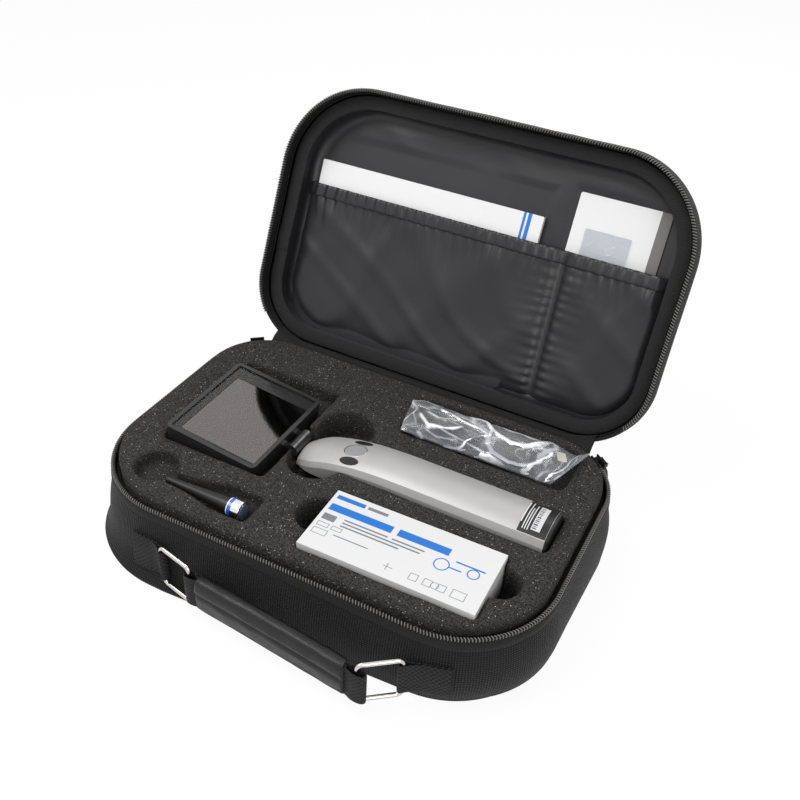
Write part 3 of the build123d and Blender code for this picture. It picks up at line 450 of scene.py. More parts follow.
# %% Leather
def leather_finish():
    """Grain from the distance to the cells' edges, over slow creases that also dull it."""
    finish = Finish("grip_wrap", roughness=0.36, specular_ior_level=0.32)
    grain = finish.cells(1.3 * MM, "DISTANCE_TO_EDGE").over(0.0, 0.25)
    creases = finish.noise(4 * MM, 4)
    finish.set(base_color=finish.mix(creases, 0.004, 0.010),
               roughness=0.28 + creases * 0.2,
               normal=finish.bump(grain * 0.4 + creases, 0.35 * MM, 0.55))
    return keep(finish)


leather_finish()

# %% [markdown]
# The hard pieces are moulded plastic, plated metal and glass. A moulded part is never quite
# even, so each plastic has a fine texture in its bump and a cloud in its roughness.


# %% Plastics, metals and glass
def plastic_finish(name, colour, roughness, texture=0.35 * MM, depth=0.02 * MM, metallic=0.0, coat=0.0,
                   level=0.5):
    """A tone from 0.9 to 1.08 of the colour by a cloud that also dulls it, and a fine bump."""
    finish = Finish(name, metallic=metallic, coat_weight=coat, coat_roughness=0.08, specular_ior_level=level)
    cloud = finish.noise(18 * MM, 3)
    fine = finish.noise(texture, 2)
    colour = np.array(colour)
    finish.set(base_color=finish.mix(cloud, tuple(colour * 0.9), tuple(np.minimum(colour * 1.08, 1))),
               roughness=roughness - 0.04 + cloud * 0.08,
               normal=finish.bump(fine, depth, 0.5))
    return keep(finish)


plastic_finish("handle_plastic", (0.385, 0.38, 0.375), 0.44, metallic=0.25, depth=0.012 * MM)
plastic_finish("smoked_window", (0.008, 0.007, 0.007), 0.10, coat=0.4, level=0.3)
plastic_finish("cap_plastic", (0.009, 0.009, 0.009), 0.40, level=0.3)
plastic_finish("bezel_plastic", (0.016, 0.016, 0.016), 0.22, level=0.55)
plastic_finish("pad_rubber", (0.38, 0.38, 0.39), 0.30, metallic=0.5)
plastic_finish("zip_coil", (0.13, 0.125, 0.115), 0.35)
plastic_finish("grip_core", (0.03, 0.03, 0.03), 0.8)
plastic_finish("slider_metal", (0.05, 0.05, 0.052), 0.35, metallic=0.9)
plastic_finish("ring_wire", (0.62, 0.60, 0.56), 0.20, texture=1.5 * MM, metallic=1.0)
plastic_finish("pin_steel", (0.55, 0.55, 0.56), 0.3, metallic=1.0)
plastic_finish("ring_chrome", (0.80, 0.80, 0.82), 0.10, texture=2 * MM, depth=0.01 * MM, metallic=1.0)
plastic_finish("ring_blue", (0.010, 0.10, 0.62), 0.22, coat=0.5)
plastic_finish("ring_white", (0.78, 0.78, 0.78), 0.25)
plastic_finish("specula_plastic", (0.02, 0.02, 0.02), 0.3)
plastic_finish("cable_rubber", (0.020, 0.020, 0.021), 0.42)


def clear_finish(name, tint, low, high):
    """Thin clear film: see-through face on, bright where it turns away or folds."""
    finish = Finish(name, base_color=tint, roughness=0.09, specular_ior_level=0.9)
    turned = finish.facing(0.45)
    wrinkle = finish.noise(7 * MM, 4)
    finish.set(normal=finish.bump(wrinkle, 1.2 * MM, 0.5))
    finish.cover((turned * 0.7 + wrinkle.over(0.5, 0.72) * 0.35) * (high - low) + low, (0.96, 0.97, 0.98))
    return keep(finish)


clear_finish("lens_glass", (0.10, 0.12, 0.20), 0.5, 0.95)

# %% [markdown]
# Crumpled film is nearly unseen where it lies flat and bright along its folds. The folds are a
# table of lines in plan, along which this finish paints a highlight and the bag's shape lifts,
# so that both agree. A mask is 1 along each line, and a slow noise bends and breaks it.

# %% Crumpled film
# the third value sets how strong the fold's painted highlight is and how high the bag lifts the fold
FILM_FOLDS = [     # points along a fold in millimetres, half its width, how bright it is
    (((19, 56), (28, 48.5), (41, 49.5), (51, 56)), 2.2, 0.9),
    (((30, 68), (47, 64), (69, 59)), 1.5, 0.8),
    (((50, 76.5), (63, 73), (72, 64), (71, 58)), 2.4, 0.9),
    (((72, 64), (86, 59.5), (96, 60.5), (106, 72), (114, 79)), 2.6, 1.0),
    (((70, 57), (61, 47.5), (54, 40.5), (44, 36)), 1.0, 1.0),
    (((68, 40), (78, 43), (94, 39.5), (109, 38), (119, 40)), 1.6, 0.9),
    (((119, 40), (125, 54), (131, 77)), 1.0, 1.0),
    (((3, 75), (13.5, 62), (11, 49)), 1.4, 0.7),
    (((4, 73.5), (15, 74.5), (31, 78), (50, 78)), 2.0, 0.6),
    (((69, 73), (84, 73), (97, 73.5), (113, 76)), 1.4, 0.6),
    (((102, 41), (110, 52), (114, 64.5)), 1.6, 0.6),
    (((22, 62), (33, 58), (44, 62)), 1.8, 0.5),
]
STICKER_MIDDLE = (120.8 * MM, 66.8 * MM)
STICKER_TURN = radians(31)
STICKER_HALF = (3.3 * MM, 3.5 * MM)
FOLD_END = 1 * MM           # how far a fold runs on past its last point
FOLD_FADE = 2.5 * MM        # how softly it ends there
print(len(FILM_FOLDS), "folds")


def fold_highlight_mask(x, y):
    """The film's folds as the mask of their painted highlights: 1 along each line, soft to its sides."""
    total = None
    for points, half, bright in FILM_FOLDS:
        for (start_x, start_y), (end_x, end_y) in zip(points, points[1:]):
            turn = atan2(end_y - start_y, end_x - start_x)
            length = hypot(end_x - start_x, end_y - start_y) * MM
            u, v = turned_axes(x - start_x * MM, y - start_y * MM, turn)
            beside = v.size().over(0.2 * half * MM, half * MM)
            one = u.between(-FOLD_END, length + FOLD_END, FOLD_FADE) * (1 - beside) * bright
            total = one if total is None else total.most(one)
    return total


def crumpled_film_finish():
    """Clear film, a faint haze where it lies flat, with painted highlights along its folds, painted reflection where
    it turns away and painted glints, and one small sticker.
    """
    finish = Finish("clear_film", metallic=0.25, specular_ior_level=0.9)
    x, y, z = finish.place()
    turned = finish.facing(0.35)
    wander = finish.noise(14 * MM, 2) - 0.5
    # painted highlights along the film's folds
    fold_highlights = fold_highlight_mask(x + wander * 9 * MM, y - wander * 7 * MM)
    broken = finish.noise(20 * MM, 2).over(0.30, 0.60) * 0.6 + 0.4
    wave = finish.noise(26 * MM, 1, finish.vector(x * 0.45, y, z))
    fine = (finish.noise(13 * MM, 2, finish.vector(x * 0.5 + y * 0.3, y, z)) - 0.5).size()
    # haze and glints: painted whitish reflection in slow patches and in thin lines
    haze = wave.over(0.40, 0.75) * 0.12
    glints = (1 - fine.over(0.0, 0.022)) * wave.over(0.45, 0.65) * 0.25
    u, v = turned_axes(x - STICKER_MIDDLE[0], y - STICKER_MIDDLE[1], STICKER_TURN)
    half_u, half_v = STICKER_HALF
    sticker = rectangle(u, v, -half_u, half_u, -half_v, half_v, 0.2 * MM) * z.over(FOAM_TOP - 1 * MM, FOAM_TOP)
    finish.set(base_color=finish.mix(sticker, (0.84, 0.85, 0.88), (0.50, 0.47, 0.42)),
               roughness=0.16 + sticker * 0.4,
               normal=finish.bump(wave + fold_highlights * 0.3, 3 * MM, 0.35))
    # the pale film colour shown here is painted reflection: more where the film turns away, painted highlights along
    # the folds, thin painted glints, a faint haze in patches and a little everywhere; the sticker is print
    reflection_and_sticker = turned * 0.26 + fold_highlights * broken * 1.1 + glints + haze + 0.04 + sticker
    finish.cover(reflection_and_sticker.least(1.0), (0.90, 0.91, 0.93))
    return keep(finish)


crumpled_film_finish()

# %% [markdown]
# A switched-off display is a dark mirror under clear glass. The mirror is in the panel's
# finish, and the glass adds only a faint smear, because a weak mirror mixed into clear glass
# is grainy at few samples.

# %% Display
DISPLAY_LEAN = 0.077        # added to the normal's y before it is made one long again


def leaning_normal(finish):
    """The display is bonded with a slight lean, so what it mirrors is shifted: its normal plus a little y."""
    own = finish.add("ShaderNodeTexCoord").outputs["Normal"]
    leant = finish.add("ShaderNodeVectorMath", {"operation": "ADD"}, {0: own, 1: (0, DISPLAY_LEAN, 0)}).outputs[0]
    turned = finish.add("ShaderNodeVectorTransform", {"vector_type": "NORMAL", "convert_from": "OBJECT",
                                                      "convert_to": "WORLD"}, {0: leant}).outputs[0]
    return finish.add("ShaderNodeVectorMath", {"operation": "NORMALIZE"}, {0: turned}).outputs[0]


def display_finish():
    """A dark mirror with a slow cloud in it."""
    finish = Finish("lcd_black", metallic=1.0, roughness=0.05)
    cloud = finish.noise(30 * MM, 2)
    finish.set(base_color=finish.mix(cloud, (0.186, 0.175, 0.170), (0.198, 0.187, 0.182)),
               normal=leaning_normal(finish))
    return keep(finish)


def cover_glass_finish():
    """The display's cover: clear, with a faint smear."""
    finish = Finish("screen_glass", metallic=1.0, roughness=0.03)
    smear = finish.noise(25 * MM, 3)
    finish.set(base_color=finish.mix(smear, (0.90, 0.91, 0.93), (1.0, 1.0, 1.0)), normal=leaning_normal(finish))
    finish.cover(smear * 0.004, 0.98)
    return keep(finish)


display_finish()
cover_glass_finish()

# %% [markdown]
# Paper and board are white with a faint tooth. Where print would be there are only plain
# bars: a mask is 1 inside a rectangle of the piece's own map, and masks are joined with the
# larger of the two.


# %% Paper and print
def frames(low_u, high_u, low_v, high_v, line=0.45):
    """The four thin rectangles round a box, in millimetres."""
    return [(low_u, high_u, low_v, low_v + line), (low_u, high_u, high_v - line, high_v),
            (low_u, low_u + line, low_v, high_v), (high_u - line, high_u, low_v, high_v)]


def paper_finish(name, tone, bars=(), centre=(0, 0), turn=0.0, above=None, rings=(), roughness=0.5):
    """bars holds (colour, [rectangles]) pairs in millimetres along the piece's own axes, from its centre;
    rings holds (colour, u, v, radius, line). above is the height below which nothing is printed."""
    finish = Finish(name, roughness=roughness, specular_ior_level=0.3)
    x, y, z = finish.place()
    u, v = turned_axes(x - centre[0] * MM, y - centre[1] * MM, turn)
    tooth = finish.noise(0.6 * MM, 3)
    colour = finish.mix(tooth, tone * 0.97, tone)
    printed = z.over(above * MM - 0.1 * MM, above * MM) if above else 1.0
    for ink, rectangles in bars:
        mask = None
        for limits in rectangles:
            one = rectangle(u, v, *(value * MM for value in limits))
            mask = one if mask is None else mask.most(one)
        colour = finish.mix(mask * printed, colour, ink)
    for ink, ring_u, ring_v, radius, line in rings:
        away = finish.add("ShaderNodeVectorMath", {"operation": "LENGTH"},
                          {0: finish.vector(u - ring_u * MM, v - ring_v * MM)}).outputs["Value"]
        on_ring = Reading(finish, away).between((radius - line) * MM, radius * MM, 0.12 * MM)
        colour = finish.mix(on_ring * printed, colour, ink)
    finish.set(base_color=colour, normal=finish.bump(tooth, 0.03 * MM, 0.3))
    return keep(finish)

# %% [markdown]
# Nearly every new piece is a grid of points: one parameter runs round or along the piece, the
# other runs across it, and the whole array is worked out at once. This helper turns such a
# grid into a mesh with its faces outwards and its own map, and a second one gives the piece
# its finish and the body that it moves with.


# %% From grid to mesh
def run_length(line):
    """Distance along a line of points up to each of them, starting at 0."""
    return np.concatenate([[0], np.cumsum(np.linalg.norm(np.diff(line, axis=0), axis=1))])


def map_grid(across, down):
    """The map of a grid whose columns lie at the distances across and whose rows at down."""
    return np.stack(np.meshgrid(across, down), -1)


def smooth_piece(name, points, polygons):
    """A mesh with smooth faces, on an object at the origin."""
    mesh = bpy.data.meshes.new(name)
    mesh.from_pydata(points.reshape(-1, 3), [], polygons)
    mesh.polygons.foreach_set("use_smooth", np.ones(len(mesh.polygons), bool))
    mesh.update()
    return into_scene(name, mesh)


def flat_map(points, row):
    """Distances along x and square to x, in the plane that the points of one closed row lie in."""
    ring = points[row]
    normal = np.cross(ring, np.roll(ring, -1, axis=0)).sum(axis=0)
    across = np.cross(normal / np.linalg.norm(normal), [1.0, 0.0, 0.0])
    return np.stack([points[..., 0], points @ across], -1)


def grid_piece(name, points, cloth=None, around=False, closed=False, caps=(), flip=False, flat_rows=0):
    """points is rows x columns x 3. around joins the last column to the first, closed the last row to
    the first, and caps closes the rows that it names. cloth is the map, with one more column or row
    where the grid is joined. The last flat_rows rows of faces and the caps lie flat, and are mapped so."""
    rows, columns = points.shape[:2]
    row, column = np.meshgrid(np.arange(rows - (not closed)), np.arange(columns - (not around)), indexing="ij")
    row, column = row.ravel(), column.ravel()
    corner_row = np.stack([row, row, row + 1, row + 1], 1)
    corner_column = np.stack([column, column + 1, column + 1, column], 1)
    if flip:
        corner_row, corner_column = corner_row[:, ::-1], corner_column[:, ::-1]
    faces = (corner_row % rows) * columns + corner_column % columns
    polygons = faces.tolist()
    for cap in caps:
        ring = (np.arange(columns) + (cap % rows) * columns).tolist()
        polygons.append(ring[::-1] if (cap == 0) != flip else ring)
    piece = smooth_piece(name, points, polygons)
    if cloth is not None:
        layer = piece.data.uv_layers.new(name="cloth")
        values = np.zeros((len(piece.data.loops), 2))
        corners = cloth[corner_row, corner_column]
        if flat_rows:
            lies_flat = row >= rows - 1 - flat_rows
            corners[lies_flat] = flat_map(points, -1)[corner_row % rows, corner_column % columns][lies_flat]
        values[:faces.size] = corners.reshape(-1, 2)
        if around:
            for number, cap in enumerate(caps):
                ring = flat_map(points, cap)[cap]
                start = faces.size + number * columns
                values[start:start + columns] = ring[::-1] if (cap == 0) != flip else ring
        layer.data.foreach_set("uv", values.ravel())
    return piece


def finish_piece(piece, finish, body=None, replaces=()):
    """replaces names the solid that it stands for. A piece with no body here is left unattached."""
    if replaces:
        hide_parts(replaces)
    piece.data.materials.clear()
    piece.data.materials.append(finishes[finish])
    if body:
        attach(piece, body)
    print(piece.name, len(piece.data.polygons), "faces")
    return piece


def apply_modifiers(piece):
    """The mesh as its modifiers leave it, with none left on the piece."""
    bpy.context.view_layer.update()
    seen_by = bpy.context.evaluated_depsgraph_get()
    mesh = bpy.data.meshes.new_from_object(piece.evaluated_get(seen_by))
    piece.modifiers.clear()
    piece.data = mesh
    return piece


# %% [markdown]
# The rim is a rounded rectangle with larger corners in front. A point on it is a centre plus
# a radius along the outward normal: along a straight the centre glides, round a corner only
# the normal turns. Written that way, moving out or in is one addition to the radius.

# %% The rim
corner_nodes = np.array([
    (0, HALF_DEPTH - BACK_RADIUS, BACK_RADIUS, 90),
    (BACK_RADIUS - HALF_WIDTH, HALF_DEPTH - BACK_RADIUS, BACK_RADIUS, 90),
    (BACK_RADIUS - HALF_WIDTH, HALF_DEPTH - BACK_RADIUS, BACK_RADIUS, 180),
    (FRONT_RADIUS - HALF_WIDTH, FRONT_RADIUS - HALF_DEPTH, FRONT_RADIUS, 180),
    (FRONT_RADIUS - HALF_WIDTH, FRONT_RADIUS - HALF_DEPTH, FRONT_RADIUS, 270),
    (HALF_WIDTH - FRONT_RADIUS, FRONT_RADIUS - HALF_DEPTH, FRONT_RADIUS, 270),
    (HALF_WIDTH - FRONT_RADIUS, FRONT_RADIUS - HALF_DEPTH, FRONT_RADIUS, 360),
    (HALF_WIDTH - BACK_RADIUS, HALF_DEPTH - BACK_RADIUS, BACK_RADIUS, 360),
    (HALF_WIDTH - BACK_RADIUS, HALF_DEPTH - BACK_RADIUS, BACK_RADIUS, 450),
    (0, HALF_DEPTH - BACK_RADIUS, BACK_RADIUS, 450),
])
node_angle = np.radians(corner_nodes[:, 3])
node_point = corner_nodes[:, :2] + corner_nodes[:, 2:3] * np.stack([np.cos(node_angle), np.sin(node_angle)], 1)
straight = np.linalg.norm(np.diff(node_point, axis=0), axis=1)
turned = np.diff(node_angle) * corner_nodes[:-1, 2]
node_along = np.concatenate([[0], np.cumsum(np.where(turned > 0, turned, straight))])
RIM_LENGTH = float(node_along[-1])
HINGE_END = float(node_along[1])
print("rim length", round(RIM_LENGTH, 4))


def rim(along, out=0.0):
    """x, y on the rim at a distance along it from the hinge's middle, moved outwards, and the normal."""
    along = np.mod(along, RIM_LENGTH)
    cx, cy, radius = (np.interp(along, node_along, corner_nodes[:, k]) for k in range(3))
    angle = np.interp(along, node_along, node_angle)
    nx, ny = np.cos(angle), np.sin(angle)
    return cx + (radius + out) * nx, cy + (radius + out) * ny, nx, ny


def lid_place(x, y, z):
    """From the closed lid's own axes, y towards the hinge and z from the zip into the lid, to the open lid."""
    back = y - HALF_DEPTH
    return np.stack([x + 0 * y + 0 * z,
                     HALF_DEPTH + back * cos(LID_OPEN) + z * sin(LID_OPEN) + 0 * x,
                     ZIP_HEIGHT - back * sin(LID_OPEN) + z * cos(LID_OPEN) + 0 * x], -1)


def base_place(x, y, z):
    """The base's own axes are the frame's."""
    return np.stack([x + 0 * z, y + 0 * z, z + 0 * x], -1)


def ripple(x, y, size, seed):
    """Smooth unevenness from -1 to 1: five sines in seeded directions, about size metres across."""
    source = np.random.default_rng(seed)
    total = 0 * x
    for _ in range(5):
        angle, phase, stretch = source.uniform(0, 2 * pi), source.uniform(0, 2 * pi), source.uniform(0.7, 1.4)
        total = total + np.sin((x * cos(angle) + y * sin(angle)) * 2 * pi / (size * stretch) + phase)
    return total / 5


def bell(x, width):
    """1 at x = 0, falling to nothing past width."""
    return np.exp(-(x / width) ** 2)

# %% [markdown]
# The base's wall is moulded foam board under nylon, so it is soft: it swells between the seam
# and the floor, turns under on a rounded foot, and sags a little more at its front corners.
# The swell is a sine of the height, and the sag a bell along the rim.

# %% Base shell
WALL_TOP = ZIP_HEIGHT - SEAM_DROP
FOOT = 5 * MM
FOOT_SPREAD = 3.0 * MM
BULGE = 2.9 * MM
WALL_REACH = 4.5 * MM
SAG_DEPTH = 11.7 * MM
RIM_COLUMNS = 480
columns = np.arange(RIM_COLUMNS) * RIM_LENGTH / RIM_COLUMNS
columns_closed = np.arange(RIM_COLUMNS + 1) * RIM_LENGTH / RIM_COLUMNS
FRONT_START, FRONT_END = node_along[4], node_along[5]
sag_places = np.array([node_along[1], node_along[2], node_along[3], (node_along[3] + node_along[4]) / 2, FRONT_START,
                       FRONT_START + 14 * MM, FRONT_START + 94 * MM, FRONT_END - 8 * MM,
                       (node_along[5] + node_along[6]) / 2, node_along[6], node_along[7], node_along[8]])
sag_values = np.array([0, 2, 5.5, 8.5, 10, 10, 5, -0.7, -3.2, -1, 1, 0]) * MM


def wall_out(along, z):
    """How far the base's wall stands out from the rim at a height."""
    share = np.clip((z - FOOT) / (WALL_TOP - FOOT), 0, 1)
    swell = FOOT_SPREAD * (1 - share) + BULGE * np.sin(pi * share)
    fall = np.exp(-np.maximum(z - FOOT, 0) / SAG_DEPTH) * (1 - share)
    patch_pull = 0.55 * bell(along - FRONT_START - 2 * MM, 26 * MM) * np.clip((z - 8 * MM) / (8 * MM), 0, 1)
    sag = np.interp(np.mod(along, RIM_LENGTH), sag_places, sag_values) * fall * (1 - patch_pull)
    return swell + sag + 0.4 * MM * ripple(along, z * 2, 60 * MM, 3) * np.clip(2 * share, 0, 1)


def shell_rows(rows_in_wall, rows_in_foot):
    """Height of each row and how far it lies in from the wall, from the seam down and in under the foot."""
    height = FOOT + np.linspace(1, 0, rows_in_wall) * (WALL_TOP - FOOT)
    turn = np.linspace(0, pi / 2, rows_in_foot)[1:]
    height = np.concatenate([height, FOOT * (1 - np.sin(turn)), [0, 0]])
    inward = np.concatenate([np.zeros(rows_in_wall), FOOT * (1 - np.cos(turn)), [FOOT + 12 * MM, 46 * MM]])
    return height, inward


def base_shell_fabric():
    """Rows run down the wall; the first ones tuck in under the seam's ridge."""
    height, inward = shell_rows(40, 10)
    height = np.concatenate([[WALL_TOP - 0.2 * MM, WALL_TOP], height])
    inward = np.concatenate([[3.0 * MM, 1.2 * MM], inward])
    along, tall = np.meshgrid(columns, height)
    out = wall_out(along, tall) - inward[:, None]
    x, y, _, _ = rim(along, out)
    cloth = map_grid(columns_closed, run_length(np.stack([height, inward], 1)))
    piece = grid_piece("base_shell_fabric", base_place(x, y, tall), cloth, around=True, caps=(-1,), flat_rows=2)
    return finish_piece(piece, "shell_nylon", "base", replaces="base_shell")


# %% [markdown]
# Between the seam and the zip runs a narrow band of the same nylon. It is one profile carried
# round the rim: out over the seam, up, and in under the coil. The hinge's stretch is left out,
# because there the fabric runs on into the lid.


# %% Zip bands
BAND_THICKNESS = 1.6 * MM


def band_profile(height):
    """Outward offset and height above the seam, over the band's outside and back down its inside."""
    rise = np.linspace(0, 1, 9)
    outside = np.stack([0.4 * MM + 0.5 * MM * np.sin(pi * rise) - 0.9 * MM * rise ** 3, rise * height], 1)
    inside = outside[::-1] - [BAND_THICKNESS, 0]
    return np.concatenate([outside, inside])


def rim_stretch(start, end, step):
    """Even places along the rim, no more than a step apart."""
    return np.linspace(start, end, int(ceil((end - start) / step)) + 1)


def zip_band(name, place, seam, direction, node, body):
    """A closed profile swept round the rim from one end of the hinge to the other."""
    profile = band_profile(SEAM_DROP - 2.3 * MM)
    along = rim_stretch(HINGE_END + 1 * MM, RIM_LENGTH - HINGE_END - 1 * MM, 2 * MM)
    out, height = profile[:, :1], profile[:, 1:]
    fade = 0.25 * MM * ripple(along, 0 * along, 35 * MM, 8)
    x, y, _, _ = rim(along[None, :], out + fade)
    points = place(x, y, seam + direction * height + 0 * x)
    map_v = run_length(profile)
    cloth = map_grid(along, np.append(map_v, map_v[-1] + BAND_THICKNESS))
    piece = grid_piece(name, points, cloth, closed=True, flip=direction > 0)
    return finish_piece(piece, "band_nylon", body, replaces=node)


base_shell_fabric()
zip_band("base_zip_band", base_place, WALL_TOP, 1, "base_zip_tape", "base")
zip_band("lid_zip_band", lid_place, SEAM_DROP, -1, "lid_zip_tape", "lid")

# %% [markdown]
# A coil zip is a bent thread of nylon sewn to its tape. Seen from outside it is a row of
# short bright strokes, so each turn is a small flattened ring round the coil's line, and all
# rings are made in one array: ring number, angle round the ring, angle round the thread.

# %% Zip coils
COIL_RADIUS = 1.05 * MM
COIL_INSET = 1.05 * MM
COIL_THREAD = 0.42 * MM
COIL_PITCH = 2.0 * MM


def coil_rings(name, place, height, start_angle, node, body):
    """Ring k stands across the rim at pitch * k. A point is the line, plus the ring's radius along the
    turned normal, plus the thread's radius; flattened to a third more along the height."""
    first = node_along[1] + (pi / 2 - radians(start_angle)) * BACK_RADIUS
    last = RIM_LENGTH - first
    number = np.arange(int((last - first) / COIL_PITCH))
    along = first + number * COIL_PITCH
    ring = np.linspace(0, 2 * pi, 12, endpoint=False)
    thread = np.linspace(0, 2 * pi, 5, endpoint=False)
    along, ring, thread = np.meshgrid(along, ring, thread, indexing="ij")
    reach = COIL_RADIUS + COIL_THREAD * np.cos(thread)
    slant = 0.25 * COIL_PITCH * np.cos(ring)
    x, y, _, _ = rim(along + COIL_THREAD * np.sin(thread) + slant, reach * np.cos(ring) - COIL_INSET)
    points = place(x, y, height + 1.1 * reach * np.sin(ring))
    rings, around, across = along.shape
    k, i, j = np.meshgrid(np.arange(rings), np.arange(around), np.arange(across), indexing="ij")

    def index(ring_step, thread_step):
        """Number of the point so many steps on round the ring and round the thread."""
        return (k * around + (i + ring_step) % around) * across + (j + thread_step) % across

    faces = np.stack([index(0, 0), index(1, 0), index(1, 1), index(0, 1)], -1).reshape(-1, 4)
    piece = smooth_piece(name, points, faces.tolist())
    core_angle = np.linspace(0, 2 * pi, 8, endpoint=False)
    core_along = rim_stretch(first, last, 3 * MM)
    along, angle = np.meshgrid(core_along, core_angle)
    x, y, _, _ = rim(along, 0.75 * MM * np.cos(angle) - COIL_INSET)
    core = grid_piece(name + "_cord", place(x, y, height + 0.8 * MM * np.sin(angle)), closed=True,
                      cloth=map_grid(core_along, np.append(core_angle, 2 * pi) * MM))
    finish_piece(core, "band_nylon", body)
    return finish_piece(piece, "zip_coil", body, replaces=node)


coil_rings("base_coil", base_place, ZIP_HEIGHT - COIL_RADIUS - 0.3 * MM, 62, "base_zip_coil", "base")
coil_rings("lid_coil", lid_place, COIL_RADIUS + 0.3 * MM, 40, "lid_zip_coil", "lid")

# %% [markdown]
# The lid is the same kind of tray, drawn as if closed and then laid open by one change of
# axes. Its back wall is where the hinge is, and its panel is flat board under the nylon.

# %% Lid shell
LID_ROUND = 9 * MM


def lid_shell_fabric():
    """Rows run from the seam up the wall, round the edge and in over the panel."""
    rise = np.linspace(0, 1, 16)
    height = SEAM_DROP + rise * (LID_HEIGHT - LID_ROUND - SEAM_DROP)
    out = 1.4 * MM * np.sin(pi * rise)
    turn = np.linspace(0, pi / 2, 9)[1:]
    inward = np.array([6, 14, 24, 36, 47]) * MM
    height = np.concatenate([[SEAM_DROP + 0.2 * MM, SEAM_DROP], height,
                             LID_HEIGHT - LID_ROUND * (1 - np.sin(turn)), np.full(5, LID_HEIGHT)])
    out = np.concatenate([[-3.0 * MM, -1.2 * MM], out, -LID_ROUND * (1 - np.cos(turn)), -LID_ROUND - inward])
    along, tall = np.meshgrid(columns, height)
    wave = 0.35 * MM * ripple(along, tall, 70 * MM, 5)
    x, y, _, _ = rim(along, np.maximum(out[:, None] + wave * (tall < LID_HEIGHT), -0.049))
    crown = 0.8 * MM * ripple(x, y, 90 * MM, 6) * (tall >= LID_HEIGHT)
    points = lid_place(x, y, tall - np.abs(crown))
    cloth = map_grid(columns_closed, run_length(np.stack([height, out], 1)))
    piece = grid_piece("lid_shell_fabric", points, cloth, around=True, caps=(-1,), flat_rows=len(inward))
    return finish_piece(piece, "shell_nylon", "lid", replaces="lid_shell")


lid_shell_fabric()

# %% [markdown]
# The satin lining is one sheet pressed into the lid: up the padded wall, round a soft corner
# and across the panel. A sheet like this is easiest as the rim's outline shrunk towards the
# middle, ring after ring. Its folds are long soft creases: a sine whose direction wanders,
# raised to a power so that the ridges are narrow and the hollows wide.

# %% Lid lining
LINING_EDGE = 12.6 * MM
LINING_FACE = 30.7 * MM
LIP_HEIGHT = 14.2 * MM
PAPERS = np.array([(-139, 47, -62.5), (67.5, 134.5, -67.4)]) * MM       # left, right, upper edge at its highest


def creases(x, y, size, angle, seed, sharp=3.0):
    """Soft parallel folds about size apart, their lines bent by a slow ripple. 0 to 1."""
    across = x * cos(radians(angle)) + y * sin(radians(angle))
    bent = across + 0.35 * size * ripple(x, y, size * 3, seed)
    return (0.5 + 0.5 * np.sin(2 * pi * bent / size)) ** sharp


def lining_relief(x, y):
    """How far the satin stands off the panel: a few folds that cross, each only in its own patch."""
    first = creases(x, y, 56 * MM, 68, 21, 1.5) * (0.5 + 0.5 * ripple(x, y, 120 * MM, 22))
    second = creases(x, y, 40 * MM, 118, 23, 1.6) * (0.5 + 0.5 * ripple(x, y, 90 * MM, 24))
    relief = 1.3 * MM * first + 0.9 * MM * second + 0.5 * MM * ripple(x, y, 55 * MM, 25)
    covered = 0 * x
    for low_x, high_x, top in PAPERS:
        inside = np.minimum(np.minimum(x - low_x, high_x - x), y - top)
        covered = np.maximum(covered, np.clip(1 + inside / (5 * MM), 0, 1))
    return relief * (1 - covered) - 0.4 * MM * covered


def lid_lining_satin():
    """Rows: up the wall, round the soft corner, then shrinking towards the middle of the panel."""
    soft = 7 * MM
    rise = np.linspace(0, 1, 7)
    wall_height = LIP_HEIGHT + rise * (LINING_FACE - soft - LIP_HEIGHT)
    turn = np.linspace(0, pi / 2, 8)[1:]
    height = np.concatenate([wall_height, LINING_FACE - soft * (1 - np.sin(turn))])
    inset = np.concatenate([LINING_EDGE + 0 * rise, LINING_EDGE + soft * (1 - np.cos(turn))])
    along, inward = np.meshgrid(columns, inset)
    x, y, nx, ny = rim(along, -inward)
    z = height[:, None] + 0 * x
    shrink = np.linspace(1, 0.02, 70)[1:, None]
    x = np.concatenate([x, x[-1] * shrink])
    y = np.concatenate([y, y[-1] * shrink])
    z = np.concatenate([z, LINING_FACE + 0 * x[len(height):]])
    panel = np.clip((np.arange(len(z)) - len(height) + 6) / 10.0, 0, 1)[:, None]
    z = z - panel * lining_relief(x, y)
    reach = LINING_EDGE + LINING_FACE - LIP_HEIGHT - run_length(np.stack([height, inset], 1))
    map_x, map_y = x.copy(), y.copy()
    map_x[:len(height)] += nx * reach[:, None]
    map_y[:len(height)] += ny * reach[:, None]
    cloth = np.stack([np.c_[map_x, map_x[:, 0]], np.c_[map_y, map_y[:, 0]]], -1)
    piece = grid_piece("lid_lining_satin", lid_place(x, y, z), cloth, around=True, flip=True)
    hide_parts("lid_lining")
    return finish_piece(piece, "satin_lining", "lid")


lid_lining_satin()

# %% [markdown]
# A ribbed tape binds the lid's lip. In section it is a flat strip, a little crowned, that
# rolls over the inner edge, so one short curve is carried round the rim. Where the tape's two
# ends meet, one laps over the other.

# %% Lid binding
BINDING_LAP = node_along[2] + 18 * MM


